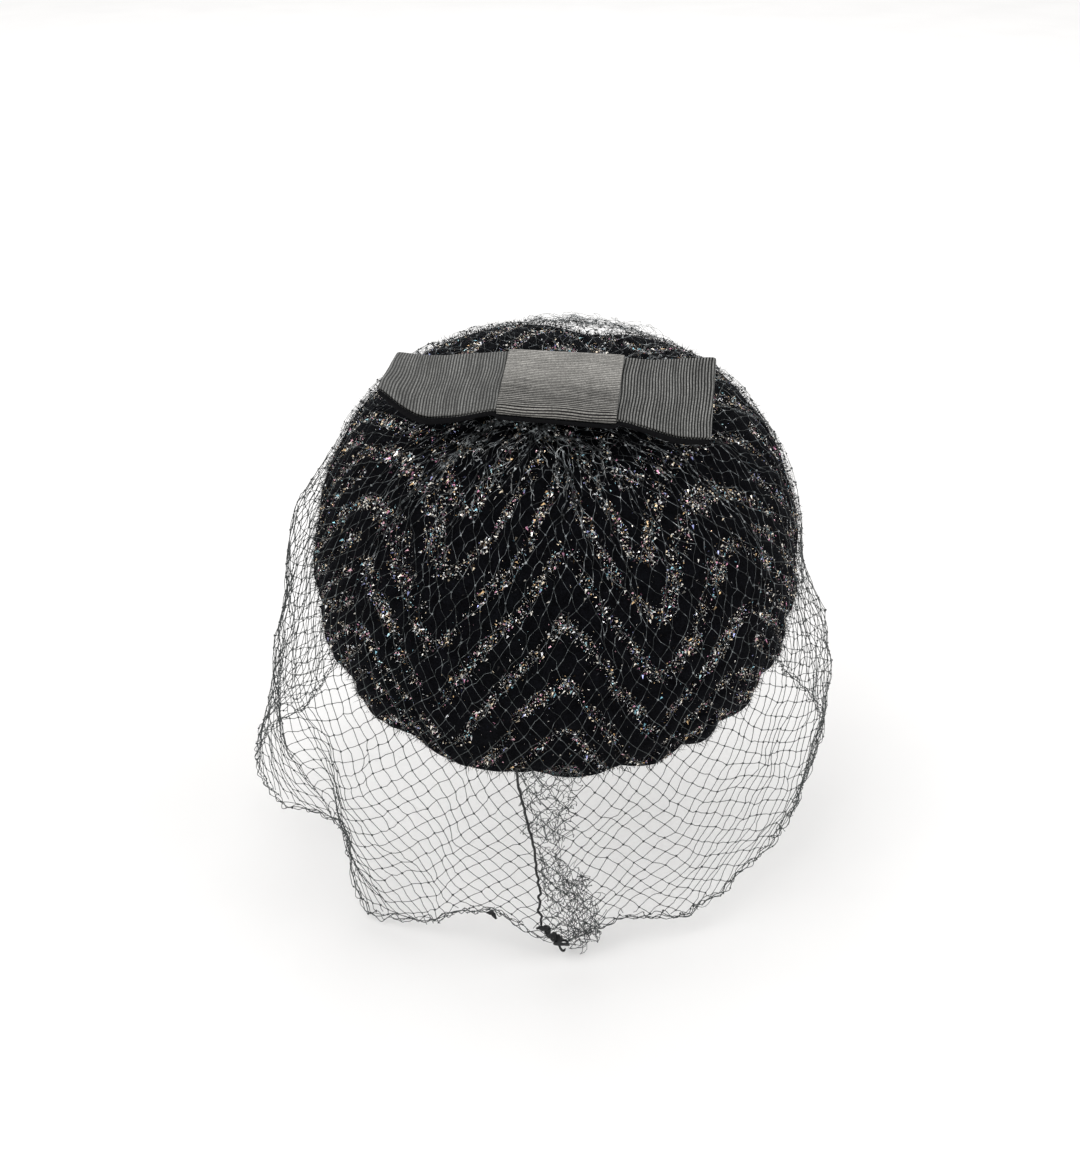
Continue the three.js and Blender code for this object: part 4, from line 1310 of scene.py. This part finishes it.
def tube(name, centre, section, sides=14):
    """A closed tube: section(k, angle) gives its radius in mm at a ring and an angle."""
    tangent = unit(np.gradient(centre, axis=0))
    across = np.cross(tangent[0], [0, 0, 1.0])
    frames = []
    for way in tangent:
        across = unit(across - way * (across @ way))
        frames.append((across, np.cross(way, across)))
    angle = np.arange(sides) / sides * TURN
    points = [middle + section(k, angle)[:, None]
              * (np.cos(angle)[:, None] * a + np.sin(angle)[:, None] * b)
              for k, (middle, (a, b)) in enumerate(zip(centre, frames))]
    count = len(centre)
    ends = [list(range(sides))[::-1], [(count - 1) * sides + j for j in range(sides)]]
    return mesh_object(name, np.concatenate(points), quads(count, sides) + ends)


def plied(radius, ply, run):
    """Section of a thread twisted from three plies."""
    def section(k, angle):
        ends = min(1.0, 0.25 + min(k, len(run) - 1 - k) / 4)
        return radius * ends * (0.86 + 0.16 * np.abs(np.cos(1.5 * (angle - TURN * run[k] / ply))))
    return section


def along_run(centre):
    """Run along a line from its start to each of its points."""
    return np.r_[0, np.cumsum(np.linalg.norm(np.diff(centre, axis=0), axis=-1))]


def knot_line(centre, half, windings):
    """Middle line of a thread wound round itself on a slant, with a loop and a short end."""
    k = np.linspace(0, 1, 40 * windings)
    turn = k * TURN * windings
    thick = (0.11 + (0.15 + 0.2 * k) * np.abs(np.cos(math.pi * (0.9 * k + 0.02))) ** 1.5
             + 0.05 * np.sin(turn * 0.37 + 1))
    tilt = 0.9 * np.sin(turn * 0.17 + 0.8) + 0.3 * np.sin(turn * 0.41)
    slant = 0.66 - 1.3 * k + 0.08 * np.sin(turn * 0.29) + tilt * thick * np.sin(turn + 0.7)
    across = thick * np.cos(turn) + 0.07 * np.sin(turn * 0.23 + 2)
    line = np.stack([slant + 0.5 * across, 0.6 * np.sin(turn), slant - 0.5 * across], -1)
    end = np.linspace(0, 1, 16)[:, None]
    tail = line[-1] + end * (-0.35, 0.1, 0.05) + np.sin(end * 3) * (0.0, 0.0, -0.22)
    return centre + np.concatenate([line, tail[1:]]) * np.array(half) * 0.95


class FASCINATOR_OT_threads(bpy.types.Operator):
    """Make the twisted seam thread and the two knots at the hem"""

    bl_idname = "fascinator.threads"
    bl_label = "Seam Thread and Knots"

    def execute(self, context):
        sizes = context.scene.fascinator_thread
        cotton = cotton_material("cotton_waxed_twist", sizes.cotton, sizes.cotton_painted_shade)
        radius, ply = sizes.seam / MM / 2, sizes.ply / MM
        k = np.linspace(0, 1, 260)
        t = SEAM[0, 0] + k * (SEAM[-1, 0] - SEAM[0, 0])
        around = seam_angle(t)
        crinkle = 0.3 + 0.7 * smoothstep(0.5, 0.9, k)
        around = around + (0.004 * np.sin(k * 23) + 0.004 * np.sin(k * 71 + 1)
                           + 0.002 * np.sin(k * 127)) * crinkle
        centre = net_point(around, t) + net_normal(around, t) * 1.2
        seam = tube("seam_thread_twisted", centre, plied(radius, ply, along_run(centre)))
        made = {"seam_thread": seam}
        for node, half, windings, thick, rise in (  # thick is the thread's radius
                ("seam_knot", (5.6, 3.0, 6.0), 14, 0.44, 3.2),
                ("hem_knot", (2.0, 1.5, 1.7), 5, 0.36, 0.6)):
            low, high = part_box(node)
            middle = (np.array(low) + np.array(high)) / 2 / MM - ORIGIN_SHIFT + (0, 0, rise)
            line = knot_line(middle, half, windings)
            made[node] = tube(node + "_tied", line, plied(thick, ply, along_run(line)))
        for node, piece in made.items():
            piece.data.materials.append(cotton)
            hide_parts(node)
            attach(piece, "root")
        return {"FINISHED"}


# ------------------------------------------------------------------ bow

SELVEDGE = 1.1  # width of the ribbon's flat woven edge
BAND_EASE = (0.3, 0.45)  # room that the band leaves across and through the loops
BAND_BEND = 1.2


def loop_rise(share):
    """Half the distance between a loop's two layers, from the band to the loop's fold."""
    swell = np.sin(np.minimum(share * 1.25, 1) * math.pi / 2) ** 2
    return INSIDE_BAND + swell * (LOOP_RISE - INSIDE_BAND) - share ** 4 * (LOOP_RISE - END_RISE)


def pressed(v):
    """The loop is thinner at its back edge, where it was pressed flat."""
    return 1 - 0.5 * smoothstep(8, 16, v)


def stepped(outline, step):
    """A closed outline in even steps: its points, its normals and the run to each point."""
    closed = np.concatenate([outline, outline[:1]])
    run = along_run(closed)
    count = int(run[-1] / step)
    places = np.arange(count) / count * run[-1]
    even = np.stack([np.interp(places, run, closed[:, k]) for k in (0, 1)], -1)
    way = unit(np.roll(even, -1, 0) - np.roll(even, 1, 0))
    return even, np.stack([-way[:, 1], way[:, 0]], -1), places


def loop_line(step):
    """The loops' way round, x along the bow and n through it, with outward normals."""
    line = []
    for side in (1, -1):
        fold = BOW_REACH[side] - END_RISE
        x = np.linspace(0, fold, 400)
        share = np.clip((x - BAND_END) / (fold - BAND_END), 0, 1)
        rise = np.where(x < BAND_END, INSIDE_BAND, loop_rise(share))
        turn = np.linspace(math.pi / 2, -math.pi / 2, 60)[1:-1]
        half = np.concatenate([
            np.stack([x, rise], -1),
            np.stack([fold + END_RISE * np.cos(turn), END_RISE * np.sin(turn)], -1),
            np.stack([x, -rise], -1)[::-1]])
        if side < 0:
            half = half * [-1, -1]
        line.append(half[:-1])
    return stepped(np.concatenate(line), step)


def band_line(width, thick, step):
    """The band's way round the loops, v across the bow and n through it, with inward normals.

    It starts and ends on the hidden lower face, so that its ribs run on over the face that shows.
    """
    flat_v = width / 2 + BAND_EASE[0] - BAND_BEND
    flat_n = INSIDE_BAND + thick / 2 + BAND_EASE[1] - BAND_BEND
    outline = []
    for quarter, side, up in ((3, 1, -1), (0, 1, 1), (1, -1, 1), (2, -1, -1)):
        for k in range(9):
            angle = (quarter + k / 8) * math.pi / 2
            outline.append([side * flat_v + (BAND_BEND + thick) * math.cos(angle),
                            up * flat_n + (BAND_BEND + thick) * math.sin(angle)])
    return stepped(np.array(outline), step)


def ribbon_ring(name, across, place, run, rib_shade_eased, waver, ribbon_painted_light):
    """A closed band of ribbon: place(i, v, out) gives points; outside and inside are joined.

    The fifth argument eases the painted shade between the ribs, and the last is the painted light on
    the face, both given for each step of the run.
    """
    wide, count = len(across), len(run)
    i = np.arange(count)
    outer = place(i[:, None], across[None, :], 0.5)
    inner = place(i[:, None], across[None, ::-1], -0.5)
    points = np.concatenate([outer, inner], 1)
    section = 2 * wide
    obj = mesh_object(name, points.reshape(-1, 3), quads(count, section, closed=True))
    flat = np.concatenate([across, across[::-1]])
    edge = np.abs(flat) > np.abs(across).max() - SELVEDGE
    # The ribs stand highest on the outside, and fade at the two edges.
    keep = np.where(np.arange(section) < wide, 1.0, 0.4) * np.where(edge, 0.15, 1.0)
    long, wide_at = np.repeat(run, section), np.tile(flat, count)
    long = long + waver * np.sin(wide_at / 5.5 + long / 9) * np.sin(wide_at / 9 - long / 6)
    point_values(obj, "run", long)
    point_values(obj, "ribbed", np.tile(keep, count))
    point_values(obj, "rib_shade_eased", np.repeat(rib_shade_eased, section))
    weave = obj.data.attributes.new("weave", "FLOAT_VECTOR", "POINT")
    values = np.stack([long, wide_at, np.repeat(ribbon_painted_light, section)], -1)
    weave.data.foreach_set("vector", values.astype(np.float32).ravel())
    return obj


def across_ribbon(width):
    """Places across a ribbon, close together at its two woven edges."""
    half = width / 2
    inside = np.linspace(-half + 1.2, half - 1.2, 11)
    return np.r_[-half, -half + 0.35, -half + 0.9, inside, half - 0.9, half - 0.35, half]


class FASCINATOR_OT_bow(bpy.types.Operator):
    """Make the flat tailored bow: two loops of grosgrain, its band, and a nearly black sheet of
    painted shade under it
    """

    bl_idname = "fascinator.bow"
    bl_label = "Grosgrain Bow"

    def execute(self, context):
        sizes = context.scene.fascinator_bow
        width, thick, pitch = (value / MM for value in (sizes.width, sizes.thickness,
                                                        sizes.rib_pitch))
        step = pitch / 4
        line, normal, run = loop_line(step)

        def on_loop(i, v, out):
            return on_bow(line[i, 0] + normal[i, 0] * out * thick, v,
                          line[i, 1] * pressed(v) + normal[i, 1] * out * thick)

        left = line[:, 0] < 0
        # Painted light and shade: the right loop is drawn a little lighter than the left, with
        # shallower painted shade between its ribs.
        loops = ribbon_ring("bow_loops", across_ribbon(width), on_loop, run,
                            np.where(left, 0.0, 0.3), 0.4, np.where(left, 0.55, 0.62))
        hoop, inward, hoop_run = band_line(width, thick, step)

        def on_band(i, x, out):
            grow = (out - 0.5) * thick
            return on_bow(-x + 0 * hoop[i, 0], hoop[i, 0] - inward[i, 0] * grow,
                          hoop[i, 1] - inward[i, 1] * grow)

        # Painted light: the band is drawn lighter along its front half, with shallower painted shade
        # between its ribs there.
        ribbon_painted_light = 1 - smoothstep(-5, 9, hoop[:, 0])  # the band is lighter along its front half
        band = ribbon_ring("bow_band_wrapped", across_ribbon(BAND_LENGTH), on_band, hoop_run,
                           0.6 * ribbon_painted_light, 0.5, ribbon_painted_light)
        for piece, word, colour, uneven_mm in ((loops, "loops", sizes.loops, 0.15),
                                               (band, "band", sizes.band, 0.12)):
            material = grosgrain_material("grosgrain_rayon_" + word, colour, pitch, uneven_mm)
            grown(piece, rib_tree(), {"Rib pitch": pitch, "Rib height": sizes.rib_height,
                                      "Material": material})
        # Painted shade: the sheet under the bow stands in for the shadowed lower layers and insides
        # of its loops.
        shade_sheet = build_shade_sheet()
        shade_sheet.data.materials.append(shade_sheet_material("painted_shade_sheet"))
        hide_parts("bow_ribbon")
        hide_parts("bow_band")
        for piece, slot in ((loops, "grosgrain"), (band, "grosgrain_band"), (shade_sheet, "grosgrain")):
            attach(piece, "root")
        return {"FINISHED"}


def build_shade_sheet():
    """A nearly black sheet of painted shade under the bow, a little larger than it along the back
    edge, for the loops' shadowed lower layers and insides.
    """
    xs = np.linspace(-BOW_REACH[-1] + 0.2, BOW_REACH[1] - 0.2, 90)
    vs = np.r_[np.linspace(-14.5, 15.6, 9), 16.0, 16.2, 16.4, 16.8, 17.1]
    x, v = np.meshgrid(xs, vs, indexing="ij")
    side = np.where(x > 0, BOW_REACH[1], BOW_REACH[-1])
    share = np.clip((np.abs(x) - BAND_END) / (side - END_RISE - BAND_END), 0, 1)
    rise = np.where(share > 0, loop_rise(share), INSIDE_BAND)
    band = 1 - smoothstep(BAND_END - 2, BAND_END, np.abs(x))
    rise = rise * pressed(v) * (1 - band) + rise * band
    under = -rise - 0.5 - 0.9 * band  # just below the ribbon's lower layer
    lip = rise - 0.6 - 1.6 * band  # just below the face of its upper layer
    level = under + (lip - under) * smoothstep(15.9, 16.3, v)
    v = v + 0.7 * band * smoothstep(15, 16, v)
    level = level - 0.5 * smoothstep(16.8, 17.1, v - 0.7 * band)
    points = np.concatenate([on_bow(x, v, n).reshape(-1, 3) for n in (level, under - 0.5)])
    rows, columns = x.shape
    lower = rows * columns

    def at(i, j):
        return i * columns + j

    faces = []
    for i in range(rows - 1):
        for j in range(columns - 1):
            four = [at(i, j), at(i + 1, j), at(i + 1, j + 1), at(i, j + 1)]
            faces += [four, [lower + k for k in four[::-1]]]
    rim = ([at(i, 0) for i in range(rows)] + [at(rows - 1, j) for j in range(1, columns)]
           + [at(i, columns - 1) for i in range(rows - 2, -1, -1)]
           + [at(0, j) for j in range(columns - 2, 0, -1)])
    for a, b in zip(rim, rim[1:] + rim[:1]):
        faces.append([b, a, lower + a, lower + b])
    return mesh_object("bow_shade_sheet", points, faces)


# ------------------------------------------------------------------ comb

class FASCINATOR_OT_comb(bpy.types.Operator):
    """Give the sewn-in comb its glossy dark finish"""

    bl_idname = "fascinator.comb"
    bl_label = "Hair Comb"

    def execute(self, context):
        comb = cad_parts["hair_comb"]
        finish = acetate_material("acetate_tumbled", context.scene.fascinator_comb.comb)
        if not comb.material_slots:
            comb.data.materials.append(finish)
        for slot in comb.material_slots:
            slot.material = finish
        return {"FINISHED"}


# ------------------------------------------------------------------ stage

FLOOR_REACH = 6000.0  # mm
SENSOR, LENS = 36, 50.96  # mm
CAMERA_SIDE, CAMERA_DROP = 0.0053, 0.0124  # m, from the line through the rim's centre


class FASCINATOR_OT_stage(bpy.types.Operator):
    """Set up the pale floor, the soft studio light and the camera"""

    bl_idname = "fascinator.stage"
    bl_label = "Studio Stage"

    def execute(self, context):
        sizes = context.scene.fascinator_stage
        scene = context.scene
        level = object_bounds()[0][2] / MM - sizes.floor_drop / MM
        corners = np.array([(-1, -1), (1, -1), (1, 1), (-1, 1)]) * FLOOR_REACH
        points = np.c_[corners, np.full(4, level)] - ORIGIN_SHIFT
        floor = mesh_object("floor", points, [[0, 1, 2, 3]], smooth=False)
        floor.data.materials.append(board_material("board_painted", sizes.floor_colour))
        floor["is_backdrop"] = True

        middle = Vector(ORIGIN_SHIFT * MM)
        back = Vector((0, math.cos(sizes.elevation), math.sin(sizes.elevation)))
        up = Vector((0, -math.sin(sizes.elevation), math.cos(sizes.elevation)))
        camera = bpy.data.cameras.new("camera")
        camera.sensor_width, camera.lens = SENSOR, LENS
        camera.clip_start, camera.clip_end = 0.01, 50
        shot = bpy.data.objects.new("camera", camera)
        scene.collection.objects.link(shot)
        place = middle + back * sizes.distance + Vector((CAMERA_SIDE, 0, 0)) - up * CAMERA_DROP
        shot.matrix_world = Matrix((
            (-1, 0, 0, place.x), (0, up.y, back.y, place.y), (0, up.z, back.z, place.z),
            (0, 0, 0, 1)))
        scene.camera = shot

        for name, spot, width, power in (  # place and width in metres
                ("key", (0.9, 1.0, 1.5), 1.1, sizes.key),
                ("fill", (-1.3, 0.5, 0.8), 1.0, sizes.fill),
                ("front", (0.2, -1.6, 1.0), 1.2, sizes.fill)):
            lamp = bpy.data.lights.new(name, "AREA")
            lamp.energy = power
            lamp.size = width
            light = bpy.data.objects.new(name, lamp)
            scene.collection.objects.link(light)
            light.location = spot
            light.rotation_euler = (middle - Vector(spot)).to_track_quat("-Z", "Y").to_euler()

        world = bpy.data.worlds.new("studio")
        world.use_nodes = True
        feed(world.node_tree.nodes["Background"], {"Color": "#ffffff", "Strength": sizes.sky})
        scene.world = world
        scene.view_settings.view_transform = "Standard"
        return {"FINISHED"}


# ------------------------------------------------------------------ add-on

class FASCINATOR_PT_panel(bpy.types.Panel):
    """Lists the fascinator's pieces"""

    bl_idname = "FASCINATOR_PT_panel"
    bl_label = "Fascinator"
    bl_space_type = "VIEW_3D"
    bl_region_type = "UI"
    bl_category = "Fascinator"

    def draw(self, context):
        for operator, word, _ in STEPS:
            box = self.layout.box()
            box.operator(operator.bl_idname)
            group = getattr(context.scene, "fascinator_" + word)
            for name in group.__annotations__:
                box.prop(group, name)


STEPS = (
    (FASCINATOR_OT_stage, "stage", StageSizes),
    (FASCINATOR_OT_cap, "cap", CapSizes),
    (FASCINATOR_OT_veil, "net", NetSizes),
    (FASCINATOR_OT_threads, "thread", ThreadSizes),
    (FASCINATOR_OT_bow, "bow", BowSizes),
    (FASCINATOR_OT_comb, "comb", CombSizes),
)


def register():
    """Registers the classes and hangs their sizes on the scene."""
    for operator, word, group in STEPS:
        bpy.utils.register_class(group)
        bpy.utils.register_class(operator)
        setattr(bpy.types.Scene, "fascinator_" + word, PointerProperty(type=group))
    bpy.utils.register_class(FASCINATOR_PT_panel)


def unregister():
    """Takes away what register() added."""
    bpy.utils.unregister_class(FASCINATOR_PT_panel)
    for operator, word, group in reversed(STEPS):
        delattr(bpy.types.Scene, "fascinator_" + word)
        bpy.utils.unregister_class(operator)
        bpy.utils.unregister_class(group)


def main():
    """Makes every piece in turn."""
    register()
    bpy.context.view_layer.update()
    for operator, _, _ in STEPS:
        group, name = operator.bl_idname.split(".")
        getattr(getattr(bpy.ops, group), name)()


if __name__ in ("__main__", "<run_path>"):
    main()
